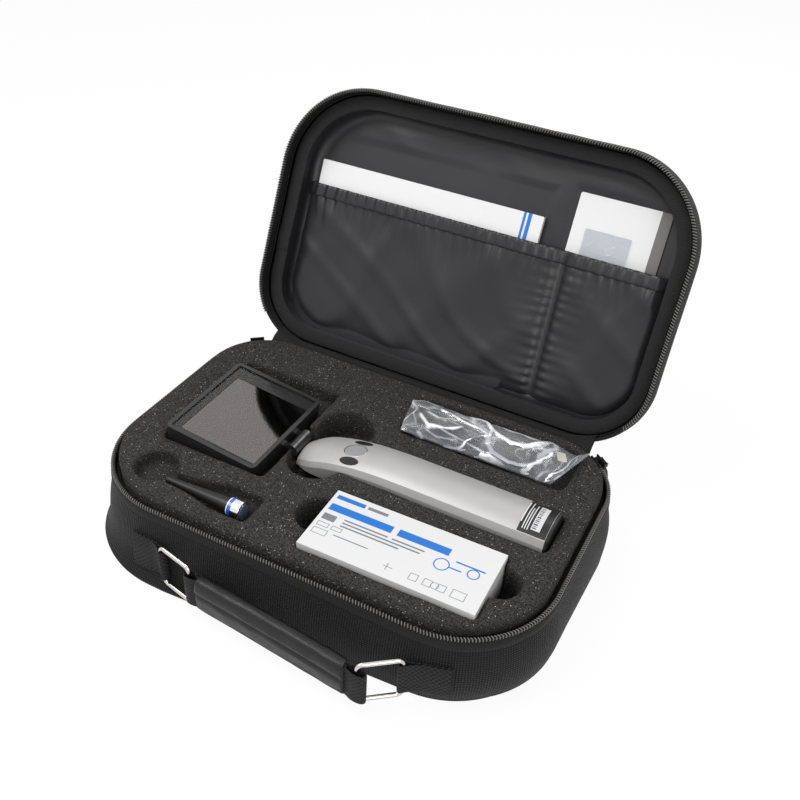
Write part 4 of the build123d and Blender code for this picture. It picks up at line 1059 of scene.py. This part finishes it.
def lid_binding_tape():
    """The section's points are an inset from the rim and a height: up the outer edge, over a crown that is
    half a sine, down round the inner edge on a half circle, and back."""
    turn = np.linspace(0, pi, 9)
    crown = np.linspace(0, 1, 9)
    outer, inner = 3.4 * MM, 13.0 * MM
    face = LIP_HEIGHT - 1.5 * MM
    inset = np.concatenate([[outer], outer + crown * (inner - outer), inner + 0.8 * MM * np.sin(turn[1:]), [outer]])
    height = np.concatenate([[LIP_HEIGHT], face - 0.5 * MM * np.sin(pi * crown),
                             face + 0.8 * MM * (1 - np.cos(turn[1:])), [LIP_HEIGHT + 0.1 * MM]])
    along = np.linspace(0, RIM_LENGTH, 721)[:-1]
    lap = np.where((along > BINDING_LAP) & (along < BINDING_LAP + 14 * MM), 0.9 * MM, 0)
    wave = 0.25 * MM * ripple(along, 0 * along, 22 * MM, 31)
    x, y, _, _ = rim(along[None, :], -inset[:, None] + wave)
    points = lid_place(x, y, height[:, None] - (lap + wave) * (height[:, None] < LIP_HEIGHT - 0.5 * MM))
    map_v = run_length(np.stack([inset, height], 1))
    cloth = map_grid(np.append(along, RIM_LENGTH), np.append(map_v, map_v[-1]))
    piece = grid_piece("lid_binding_tape", points, cloth, around=True, closed=True, flip=True)
    return finish_piece(piece, "ribbed_binding", "lid", replaces="lid_binding")


lid_binding_tape()

# %% [markdown]
# The document pocket is a second sheet of satin, sewn down at its sides, its floor and one
# divider, and gathered a little by its hem. The sheet stands off the lining by a smooth
# function that falls to nothing along each seam, and near the hem and the divider it gets
# short puckers: a fast sine across the seam that dies away from it.

# %% Pocket
POCKET_BACK = 88.5 * MM
POCKET_MOUTH = -24.5 * MM
POCKET_HALF = 146.6 * MM
POCKET_CORNER = BACK_RADIUS - LINING_EDGE - 0.4 * MM
POCKET_FRONT = 25.1 * MM            # height of the satin's face between its seams
BOOKLET_FACE = 26.3 * MM            # height of the booklet's face under it
BOOKLET_ROOM = 0.4 * MM
HEM_WIDTH = 10 * MM
DIVIDER_MOUTH = 69.0 * MM
DIVIDER_FOOT = 71.5 * MM
SEAM_RISE = 3.5 * MM                # the satin has mostly risen this far from a seam
GROOVE_HALF = 4.5 * MM              # half the width of the divider's groove
HEM_FADE, DIVIDER_FADE = 9 * MM, 8 * MM             # how far the puckers reach from their seam
FOLD_START = 12 * MM                # the folds are at full height this far from the divider
LIMIT_EDGE = 2.5 * MM               # width over which the booklet's limit starts


def hem_wave(x, y):
    """The ruching's pattern, -1 to 1: a sine along the hem whose phase wanders."""
    return np.sin(2 * pi * x / (8.5 * MM) + 2.5 * ripple(x, y, 60 * MM, 41))


def pocket_relief(x, y):
    """Height of the pocket's face above the zip plane: the lining's height, less how far the satin stands
    off it between its seams, less its folds and puckers. Over the booklet's width it is held clear of its
    face. That limit runs on past the booklet's foot, so the back seam lies a little proud there."""
    divider = DIVIDER_MOUTH + (y - POCKET_MOUTH) / (POCKET_BACK - POCKET_MOUTH) * (DIVIDER_FOOT - DIVIDER_MOUTH)
    from_divider = np.abs(x - divider)
    cx, cy = np.abs(x) - (HALF_WIDTH - BACK_RADIUS), y - (HALF_DEPTH - BACK_RADIUS)
    in_corner = (cx > 0) & (cy > 0)
    from_side = np.where(in_corner, POCKET_CORNER - np.hypot(cx, cy),
                         np.minimum(POCKET_HALF - np.abs(x), POCKET_BACK - y))
    seam = 1 - np.exp(-np.minimum(np.maximum(from_side, 0) / SEAM_RISE, 30))
    groove = bell(from_divider, GROOVE_HALF)
    from_hem = np.maximum(y - POCKET_MOUTH - HEM_WIDTH, 0)
    hem_pucker = 0.7 * MM * hem_wave(x, y) * np.exp(-from_hem / HEM_FADE)
    side_pucker = 0.8 * MM * np.sin(2 * pi * y / (7.5 * MM) + 2 * ripple(x, y, 40 * MM, 42)) \
        * np.exp(-from_divider / DIVIDER_FADE)
    folds = 2.0 * MM * creases(x, y, 50 * MM, 40, 43) * (0.5 + 0.5 * ripple(x, y, 100 * MM, 44))
    folds = folds + 0.8 * MM * creases(x, y, 36 * MM, -55, 45) + 0.5 * MM * ripple(x, y, 40 * MM, 46)
    away = np.clip(from_divider / FOLD_START, 0, 1)
    stand = (LINING_FACE - POCKET_FRONT) * seam * (1 - 0.72 * groove)
    relief = LINING_FACE - stand - (folds * away + hem_pucker * away + side_pucker * (1 - groove)) * seam
    low_x, high_x, _ = PAPERS[0]
    over_booklet = np.clip(1 + np.minimum(x - low_x, high_x - x) / LIMIT_EDGE, 0, 1)
    return relief + (np.minimum(relief, BOOKLET_FACE - BOOKLET_ROOM) - relief) * over_booklet


def pocket_half(y):
    """Half the pocket's width at y: straight sides, then the lining's round back corners."""
    past = np.clip(y - (HALF_DEPTH - BACK_RADIUS), 0, POCKET_CORNER)
    return HALF_WIDTH - BACK_RADIUS + np.sqrt(np.maximum(POCKET_CORNER ** 2 - past ** 2, 0))


def lid_pocket_satin():
    """Rows run from the mouth to the back seam, each as wide as the pocket is there."""
    y = np.concatenate([np.linspace(POCKET_MOUTH, 60 * MM, 70), np.linspace(60 * MM, POCKET_BACK, 34)[1:]])
    across = np.linspace(-1, 1, 300)
    y, share = np.meshgrid(y, across, indexing="ij")
    x = share * pocket_half(y)
    z = pocket_relief(x, y)
    piece = grid_piece("lid_pocket_satin", lid_place(x, y, z), np.stack([x, y], -1))
    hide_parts("lid_pocket")
    return finish_piece(piece, "satin_lining", "lid")


lid_pocket_satin()


def pocket_hem_band():
    """The folded edge: a flat tube along the mouth that follows the pocket's height."""
    x = np.linspace(-POCKET_HALF + 0.6 * MM, POCKET_HALF - 0.6 * MM, 300)
    turn = np.linspace(0, 2 * pi, 20, endpoint=False)
    middle = POCKET_MOUTH + HEM_WIDTH / 2
    square = np.sign(np.cos(turn)) * np.abs(np.cos(turn)) ** 0.5
    y = middle + (HEM_WIDTH / 2) * square
    thick = 0.85 * MM * np.sin(turn)
    pucker = 0.35 * MM * hem_wave(x, 0 * x)
    base = pocket_relief(x, 0 * x + middle) - 0.9 * MM
    points = lid_place(x[None, :] + 0 * y[:, None], y[:, None] + 0 * x[None, :],
                       base[None, :] + thick[:, None] + pucker[None, :] * (square[:, None] > 0))
    cloth = map_grid(x, np.linspace(0, 2.2 * HEM_WIDTH, len(turn) + 1))
    piece = grid_piece("pocket_hem_band", points, cloth, closed=True, flip=True)
    return finish_piece(piece, "satin_lining", "lid", replaces="pocket_hem")


pocket_hem_band()

# %% [markdown]
# The hinge is one strip of webbing that lies on the base's back wall and round both of its back
# corners, bends over the hinge line and runs on down the lid's back wall. It is shaped on both
# halves: below the line it lies on the base, above it on the open lid, and it bends
# between.

# %% Fabric hinge
HINGE_REACH = HALF_WIDTH - BACK_RADIUS + 25 * MM      # along the plan outline, on round both back corners
HINGE_THICKNESS = 1.5 * MM
HINGE_GAP = 0.3 * MM                # between the strip's outer face and the rim
HINGE_BEND = 1.5 * MM               # half the height over which it changes from the base to the lid


def hinge_strip():
    """The outer face down, then the inner face up: each row is the rim's line, drawn in a little round
    the corners, at its height on the base and on the lid, mixed by how far past the bend it lies."""
    along = np.linspace(-HINGE_REACH, HINGE_REACH, 150)
    straight = HALF_WIDTH - BACK_RADIUS
    turn = np.maximum(np.abs(along) - straight, 0) / BACK_RADIUS
    way = np.linspace(-SEAM_DROP, SEAM_DROP, 25)
    rows = []
    for gap, steps in ((HINGE_GAP, way), (HINGE_GAP + HINGE_THICKNESS, way[::-1])):
        radius = BACK_RADIUS - gap - 1.4 * MM * np.clip(turn * 5, 0, 1)
        x = np.sign(along) * (np.minimum(np.abs(along), straight) + radius * np.sin(turn))
        y = HALF_DEPTH - BACK_RADIUS + radius * np.cos(turn)
        for step in steps:
            base_side = np.stack([x, y, 0 * x + ZIP_HEIGHT + min(step, 0)], -1)
            lid_side = lid_place(x, y, 0 * x + max(step, 0) + 0.6 * MM)
            share = np.clip((step + HINGE_BEND) / (2 * HINGE_BEND), 0, 1)
            rows.append(base_side * (1 - share) + lid_side * share)
    points = np.array(rows)
    map_v = run_length(points[:, len(along) // 2])
    cloth = map_grid(along, np.append(map_v, map_v[-1] + HINGE_THICKNESS))
    piece = grid_piece("hinge_strip", points, cloth, closed=True, flip=True)
    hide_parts("hinge_leaf_base", "hinge_leaf_lid")
    finish_piece(piece, "hinge_webbing")
    end = lid_place(0.0, HALF_DEPTH, 4 * MM)
    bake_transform(piece)
    return piece


hinge_strip()

# %% [markdown]
# The insert is charcoal foam cut with a hot wire: every edge is a little round and nothing is
# quite straight. It starts as a copy of the solid, is rebuilt as even cells, smoothed, and
# moved by a slow ripple, so its recesses stay where the solid has them.

# %% Foam insert
def foam_block(voxel=1.6 * MM):
    """Each point moves by a slow ripple of the other two coordinates."""
    piece = frame["nodes"]["foam_insert"].copy()
    piece.data = piece.data.copy()
    piece.name = "foam_block"
    for key in list(piece.keys()):
        del piece[key]
    bpy.context.scene.collection.objects.link(piece)
    remesh = piece.modifiers.new("cells", "REMESH")
    remesh.mode = "VOXEL"
    remesh.voxel_size = voxel
    smooth = piece.modifiers.new("soft", "SMOOTH")
    smooth.iterations = 3
    smooth.factor = 0.5
    apply_modifiers(piece)
    count = len(piece.data.vertices)
    points = np.zeros(count * 3)
    piece.data.vertices.foreach_get("co", points)
    points = points.reshape(-1, 3)
    x, y, z = points.T
    points[:, 2] += 0.35 * MM * ripple(x, y, 45 * MM, 51) * (z > 60 * MM)
    points[:, 0] += 0.2 * MM * ripple(y, z, 14 * MM, 52)
    points[:, 1] += 0.2 * MM * ripple(x, z, 14 * MM, 53)
    piece.data.vertices.foreach_set("co", points.ravel())
    piece.data.polygons.foreach_set("use_smooth", np.ones(len(piece.data.polygons), bool))
    return finish_piece(piece, "foam", "base", replaces="foam_insert")


foam_block()

# %% [markdown]
# Two patches of webbing hold the wire rings to the wall, and two loops of it join the rings to
# the grip. Webbing always bends along its length only, so each is a plan line of listed points,
# smoothed, and given a thin rounded section that stands upright.

# %% Webbing
WEB_HEIGHT = 25 * MM
RING_MIDDLE = 26 * MM
WALL_FACE = -106 * MM
LEFT_BAR = np.array([-79.0, -110.8]) * MM
RIGHT_BAR = np.array([95.0, -110.8]) * MM


def smooth_line(points, step):
    """A line through the points, its corners cut at a quarter of each side three times, and then divided
    into even steps."""
    line = np.array(points, float)
    for _ in range(3):
        before, after = line[:-1], line[1:]
        cut = np.stack([0.75 * before + 0.25 * after, 0.25 * before + 0.75 * after], 1).reshape(-1, 2)
        line = np.concatenate([line[:1], cut[1:-1], line[-1:]])
    along = run_length(line)
    even = np.linspace(0, along[-1], max(int(along[-1] / step), 8) + 1)
    return np.stack([np.interp(even, along, column) for column in line.T], 1), even


def webbing_strip(name, line, node, body, middle=RING_MIDDLE, thickness=1.1 * MM, height=WEB_HEIGHT,
                  press=None):
    """Carries the upright section along the plan line. Its faces are a little crowned. press moves its
    points onto what it is sewn to."""
    path, along = smooth_line(line, 0.8 * MM)
    ahead = np.gradient(path, axis=0)
    ahead = ahead / np.linalg.norm(ahead, axis=1)[:, None]
    side = np.stack([-ahead[:, 1], ahead[:, 0]], 1)
    turn = np.linspace(0, 2 * pi, 40, endpoint=False)
    up = np.sign(np.sin(turn)) * np.abs(np.sin(turn)) ** 0.35 * height / 2
    across = np.sign(np.cos(turn)) * np.abs(np.cos(turn)) ** 0.5 * thickness / 2
    x = path[None, :, 0] + side[None, :, 0] * across[:, None]
    y = path[None, :, 1] + side[None, :, 1] * across[:, None]
    z = middle + up[:, None] + 0 * x
    if press:
        x, y = press(x, y, z)
    points = np.stack([x, y, z], -1)
    piece = grid_piece(name, points, map_grid(along, np.append(up, up[0])), closed=True)
    return finish_piece(piece, "webbing", body, replaces=node)


def bar_wrap(bar, side, radius=2.7 * MM):
    """Points round a bar, starting on the wall side and ending on the outside."""
    turn = np.radians(np.linspace(90, 270, 7))
    return [tuple(bar + radius * np.array([side * np.cos(a), np.sin(a)])) for a in turn]


def front_along(x):
    """Distance along the rim of the front wall's point at x, round its corners too."""
    past = np.maximum(np.abs(x) - (HALF_WIDTH - FRONT_RADIUS), 0)
    turned = np.arcsin(np.minimum(past / (FRONT_RADIUS + WALL_REACH), 1)) * FRONT_RADIUS
    straight = np.clip(x + HALF_WIDTH - FRONT_RADIUS, 0, FRONT_END - FRONT_START)
    return FRONT_START + straight + np.sign(x) * turned


def sewn_patch(name, bar, side, node):
    """In along the wall, round the bar and back over itself."""
    def press(x, y, z):
        """Off the wall by what the plan line says, more strictly the further from the bar."""
        along = front_along(x)
        held = np.clip((np.abs(x - bar[0]) - 4 * MM) / (8 * MM), 0, 1)
        reach = held * wall_out(along, z) + (1 - held) * WALL_REACH
        return rim(along, reach - HALF_DEPTH - y - WALL_REACH)[:2]

    wall = WALL_FACE - 0.9 * MM
    line = [(bar[0] + side * 27 * MM, wall), (bar[0] + side * 14 * MM, wall)]
    line += [(bar[0] + side * 5 * MM, wall - 0.2 * MM)]
    line += [(bar[0] + side * 1.5 * MM, wall - 0.8 * MM)] + bar_wrap(bar, side)[1:]
    line += [(bar[0] + side * 3 * MM, wall - 3.2 * MM), (bar[0] + side * 7 * MM, wall - 1.8 * MM),
             (bar[0] + side * 12 * MM, wall - 1.2 * MM), (bar[0] + side * 26 * MM, wall - 1.2 * MM)]
    return webbing_strip(name, line, node, "base", press=press)


sewn_patch("patch_left_webbing", LEFT_BAR, -1, "patch_left")
sewn_patch("patch_right_webbing", RIGHT_BAR, 1, "patch_right")

# %% [markdown]
# The grip is webbing padded and wrapped in imitation leather. The wrap closes along a groove
# below the top, so the upper part is a roll and the lower part a flat panel: in section, an
# oval with a pinch in its outer side. Its ends are squeezed by the loops.

# %% Carry grip
LEFT_GRIP_BAR = np.array([-52.59, -116.41]) * MM
RIGHT_GRIP_BAR = np.array([73.72, -127.42]) * MM
GRIP_LENGTH = 111 * MM
GRIP_MIDDLE_Z = 24.3 * MM
grip_line = RIGHT_GRIP_BAR - LEFT_GRIP_BAR
grip_span = float(np.linalg.norm(grip_line))
grip_along = grip_line / grip_span
grip_out = np.array([grip_along[1], -grip_along[0]])
grip_middle = (LEFT_GRIP_BAR + RIGHT_GRIP_BAR) / 2


def grip_place(along, out, z):
    """From the grip's own axes, along it, away from the case and up, to the frame."""
    x = grip_middle[0] + along * grip_along[0] + out * grip_out[0]
    y = grip_middle[1] + along * grip_along[1] + out * grip_out[1]
    return np.stack([x + 0 * z, y + 0 * z, z + 0 * x], -1)


def grip_section(turn):
    """Out and up on the wrap's outline at an angle: an oval pinched at the groove."""
    tall = 14.6 * MM * np.sign(np.sin(turn)) * np.abs(np.sin(turn)) ** 0.8
    out = 6.0 * MM * np.sign(np.cos(turn)) * np.abs(np.cos(turn)) ** 0.65
    groove = 3.6 * MM
    pinch = np.exp(-((tall - groove) / (1.5 * MM)) ** 2)
    flat = 1.3 * MM * (1 - np.exp(-np.maximum(groove - tall, 0) / (3 * MM)))
    outside = np.cos(turn) > 0
    return out - np.where(outside, 2.6 * MM * pinch + flat, 0), tall


def grip_wrap_leather():
    """The section carried along the grip, squeezed to its ends by an exponential, raised in the middle by
    a parabola, and wrinkled by a ripple."""
    share = np.linspace(-1, 1, 150)
    along = share * GRIP_LENGTH / 2
    turn = np.linspace(0, 2 * pi, 72, endpoint=False)
    out, tall = grip_section(turn)
    end = 1 - 0.10 * np.exp(-(1 - np.abs(share)) / 0.035)
    slim = 1 - 0.02 * np.exp(-(1 - np.abs(share)) / 0.05)
    bend = 1.2 * MM * (1 - share ** 2)
    wrinkle = 0.35 * MM * ripple(along[None, :], tall[:, None] * 2, 24 * MM, 61)
    out = out[:, None] * end + wrinkle * np.sign(out[:, None])
    tall = tall[:, None] * slim + GRIP_MIDDLE_Z + bend * 0.6
    points = grip_place(along[None, :] + 0 * out, out, tall)
    around = run_length(np.stack(grip_section(np.append(turn, 2 * pi)), 1))
    piece = grid_piece("grip_wrap_leather", points, map_grid(along, around), closed=True)
    ends = piece.modifiers.new("ends", "SOLIDIFY")
    ends.thickness = 1.6 * MM
    ends.offset = -1
    apply_modifiers(piece)
    return finish_piece(piece, "grip_wrap", "grip", replaces="grip_cover")


grip_wrap_leather()


def grip_loop(name, side, reach_in, room, node):
    """A loop of webbing round the ring's bar: out of the grip, round, and back into it."""
    bar = side * grip_span / 2
    half = 2.9 * MM
    turn = np.radians(np.linspace(80, -80, 7))
    line = [(side * reach_in, 0.9 * MM), (bar - side * 7 * MM, 1.3 * MM), (bar - side * 2.5 * MM, half)]
    line += [(bar + side * (room * np.cos(a) + 0.5 * MM), half * np.sin(a)) for a in turn]
    line += [(bar - side * 2.5 * MM, -half), (bar - side * 7 * MM, -1.3 * MM), (side * reach_in, -0.9 * MM)]
    line = [tuple(grip_place(np.array(a), np.array(o), np.array(0.0))[:2]) for a, o in line]
    return webbing_strip(name, line, node, "grip", middle=GRIP_MIDDLE_Z)


grip_loop("grip_loop_left_webbing", -1, 44 * MM, 3.2 * MM, "grip_loop_left")
grip_loop("grip_loop_right_webbing", 1, 44 * MM, 6.0 * MM, "grip_loop_right")

# %% [markdown]
# The cable's bag is thin clear film, crumpled and lying half in its recess. In plan it is a
# sheet between two slanted ends; over that plan it stands up like a flat pillow, and its folds
# are ridges along the same lines where the film's finish paints its highlights: sharp along the
# line, with soft sides. Past its right end the film runs out to a twisted point.

# %% Bag
BAG_CORNERS = np.array([(11.5, 41.5), (122.5, 42.5), (128.5, 78.5), (4.0, 76.5)]) * MM
BAG_TIP = np.array([138.0, 73.0, 79.5]) * MM
BAG_TOP, BAG_PILLOW, BAG_FOLD = 2.2 * MM, 6.0 * MM, 3.4 * MM     # above the foam: edge, swell, folds
BAG_DEPTH = 9.0 * MM                                            # below it, in the recess


def fold_lines(x, y):
    """The same folds as heights over the plan, 0 to about 1."""
    total = 0 * x
    for points, half, bright in FILM_FOLDS:
        for start, end in zip(np.array(points[:-1]) * MM, np.array(points[1:]) * MM):
            way = end - start
            share = np.clip(((x - start[0]) * way[0] + (y - start[1]) * way[1]) / (way @ way), 0, 1)
            away = np.hypot(x - start[0] - share * way[0], y - start[1] - share * way[1])
            total = np.maximum(total, bright * np.exp(-away / ((half + 1.2) * MM)))
    return total


def bag_film():
    """Rows run along the bag and columns round it, over the top and back underneath. Height is a fourth
    power pillow, with the folds added on top; past the last row it shrinks evenly to the tip."""
    along = np.linspace(0, 1, 150)
    turn = np.linspace(0, 2 * pi, 90, endpoint=False)
    across = 0.5 - 0.5 * np.cos(turn)
    share, cross = np.meshgrid(along, across, indexing="ij")
    near = BAG_CORNERS[0] + (BAG_CORNERS[1] - BAG_CORNERS[0]) * share[..., None]
    far = BAG_CORNERS[3] + (BAG_CORNERS[2] - BAG_CORNERS[3]) * share[..., None]
    plan = near + (far - near) * cross[..., None]
    x, y = plan[..., 0], plan[..., 1]
    pinch = 0.5 - 0.5 * np.cos(2 * pi * np.clip(share * (1 - share) * 6, 0, 0.5))
    pillow = (1 - (2 * cross - 1) ** 4) ** 0.7 * (0.25 + 0.75 * pinch)
    above = turn[None, :] < pi
    fold = fold_lines(x, y)
    top = BAG_TOP + BAG_PILLOW * pillow + BAG_FOLD * fold * pillow ** 0.5 + 0.8 * MM * ripple(x, y, 34 * MM, 72)
    bottom = -BAG_DEPTH * pillow * np.clip((cross - 0.1) * 8, 0, 1) * np.clip((0.9 - cross) * 8, 0, 1) + 1.4 * MM
    z = FOAM_TOP + np.where(above, top, bottom)
    y = y + 1.2 * MM * ripple(x, 0 * x, 40 * MM, 73) * (2 * cross - 1)
    points = np.stack([x, y, z], -1)
    tail = np.linspace(0, 1, 14)[1:, None, None]
    collar = points[-1][None]
    tip = BAG_TIP + (collar - collar.mean(axis=1, keepdims=True)) * 0.06
    points = np.concatenate([points, collar * (1 - tail) + tip * tail])
    cloth = map_grid(np.arange(len(turn) + 1) * MM, np.arange(len(points)) * MM)
    piece = grid_piece("bag_film", points, cloth, around=True, caps=(0, -1), flip=True)
    return finish_piece(piece, "clear_film", "cable", replaces="cable_bag")


bag_film()

# %% [markdown]
# The solid pieces whose shape is already right stay as they are and only get their finish. A
# table gives each one's material; those that print or film covers get theirs further on.

# %% Finishes for the solid pieces
solid_finishes = {
    "base_liner": "liner_felt", "foam_base_pad": "foam", "lid_padding": "lid_padding", "grip_core": "grip_core",
    "ring_left": "ring_wire", "ring_right": "ring_wire",
    "zip_slider_left": "slider_metal", "zip_slider_right": "slider_metal",
    "zip_pull_left": "slider_metal", "zip_pull_right": "slider_metal",
    "monitor_bezel": "bezel_plastic", "monitor_rear": "bezel_plastic", "monitor_glass": "screen_glass",
    "lcd_panel": "lcd_black", "tilt_pin": "pin_steel", "neck": "bezel_plastic",
    "handle_upper": "handle_plastic", "handle_lower": "handle_plastic", "handle_end_cap": "cap_plastic",
    "control_pad": "pad_rubber", "indicator_windows": "smoked_window",
    "lens_face": "lens_glass", "lens_chrome_ring": "ring_chrome", "lens_blue_ring": "ring_blue",
    "lens_white_ring": "ring_white", "lens_collar": "cap_plastic", "lens_arm": "cap_plastic",
    "specula": "specula_plastic", "cable_coil": "cable_rubber", "cable_plug": "cable_rubber",
    "card_sachet": "clear_film",
}


def finish_solids(table):
    """Gives each solid that the table names its finish."""
    for node, finish in table.items():
        for slot in frame["nodes"][node].material_slots:
            slot.material = finishes[finish]
    print(len(table), "solid pieces finished")


finish_solids(solid_finishes)

# %% [markdown]
# Print is copied nowhere. Where the real papers and labels carry it there are plain bars,
# frames and rings, in millimetres from each piece's own centre.

# %% Papers and labels
BLUE = (0.012, 0.14, 0.50)
GREY = (0.16, 0.17, 0.19)
CARTON_MIDDLE = (65, -58.3)
carton_bars = [
    (BLUE, [(-56, -12, 8, 14), (-8, 27, 8, 14), (-56, -36, 19, 22.5)]),
    (GREY, [(-56, -47, -1, 4.5), (-42, -12, 3.6, 4.8), (-9, 13, 3.6, 4.8), (-42, 11, 0.8, 2.0),
            (-42, -2, -2.0, -0.8), (-42, -18, -10.6, -9.8), (-34, -20, 19.5, 22)]
     + frames(-56, -48, -7, -3.4) + frames(-46, -39, -7, -3.4) + frames(-56, -46, -14, -9)),
    (GREY, [(-4, 2, -17.5, -17.0), (-2, -1.5, -20, -14.5)] + frames(13, 18.5, -20, -14.5)
     + frames(22, 27.5, -20, -14.5) + frames(40, 49, -20.5, -14) + frames(31, 36.5, -20, -14.5)),
    (BLUE, [(33, 52, 5.4, 6.6), (30.5, 39, -0.6, 0.4)]),
]
paper_finish("white_board", 0.61, carton_bars, CARTON_MIDDLE, radians(1.3), above=69.0,
             rings=[(BLUE, 26, 0, 5.0, 0.8), (BLUE, 46, 1.5, 4.0, 0.8), (GREY, 29.5, -17.2, 2.6, 0.4)])
paper_finish("booklet_paper", 0.72, [((0.03, 0.16, 0.55), [(31.5, 33.5, 40, 200), (35, 38, 40, 200)])], above=112)
paper_finish("card_paper", 0.72, [((0.16, 0.15, 0.15), [(126.6, 140, 0, 400)]),
                                  ((0.72, 0.72, 0.72), [(129.0, 130.6, 0, 158)])])
paper_finish("label_film", 0.012, [
    ((0.55, 0.55, 0.56), [(127.6, 133.6, -9, 12.5)]),
    ((0.62, 0.62, 0.62), [(118.4, 120.6, -6, 13), (122.2, 122.8, -10, 14), (123.8, 124.4, -10, 8),
                          (125.4, 126.0, -10, 12)]),
    ((0.03, 0.03, 0.03), [(128.2, 130.8, low, low + wide) for low, wide in
                          ((-8, 0.7), (-6.6, 0.4), (-5.4, 1.0), (-3.6, 0.4), (-2.4, 0.8), (-0.8, 0.5), (0.6, 1.1),
                           (2.6, 0.4), (3.8, 0.8), (5.4, 0.5), (6.8, 1.0), (8.8, 0.5), (10.2, 0.7))]),
], roughness=0.35)
finish_solids({"booklet": "booklet_paper", "card": "card_paper", "specula_carton": "white_board",
               "handle_label": "label_film"})

# %% [markdown]
# The floor comes last. It is white to the camera, and its light share keeps the soft shadow
# under the case.


# %% Floor
FLOOR_GLOW = 0.93


def floor_sheet():
    """One square of twice far. By FLOOR_GLOW it glows white for rays from the camera, a mirror or glass."""
    mesh = bpy.data.meshes.new("floor")
    far = 4.0
    mesh.from_pydata([(-far, -far, 0), (far, -far, 0), (far, far, 0), (-far, far, 0)], [], [(0, 1, 2, 3)])
    piece = into_scene("floor", mesh)
    finish = Finish("floor_white", base_color=(0.9, 0.9, 0.9), roughness=0.9)
    glow = finish.add("ShaderNodeEmission", {}, {0: (1, 1, 1), 1: 1.0})
    paths = finish.add("ShaderNodeLightPath")
    seen_by, mirrored, through = [Reading(finish, paths.outputs[f"Is {kind} Ray"])
                                  for kind in ("Camera", "Glossy", "Transmission")]
    finish.share(seen_by.most(mirrored).most(through) * FLOOR_GLOW, finish.shader, glow)
    mesh.materials.append(keep(finish))


floor_sheet()
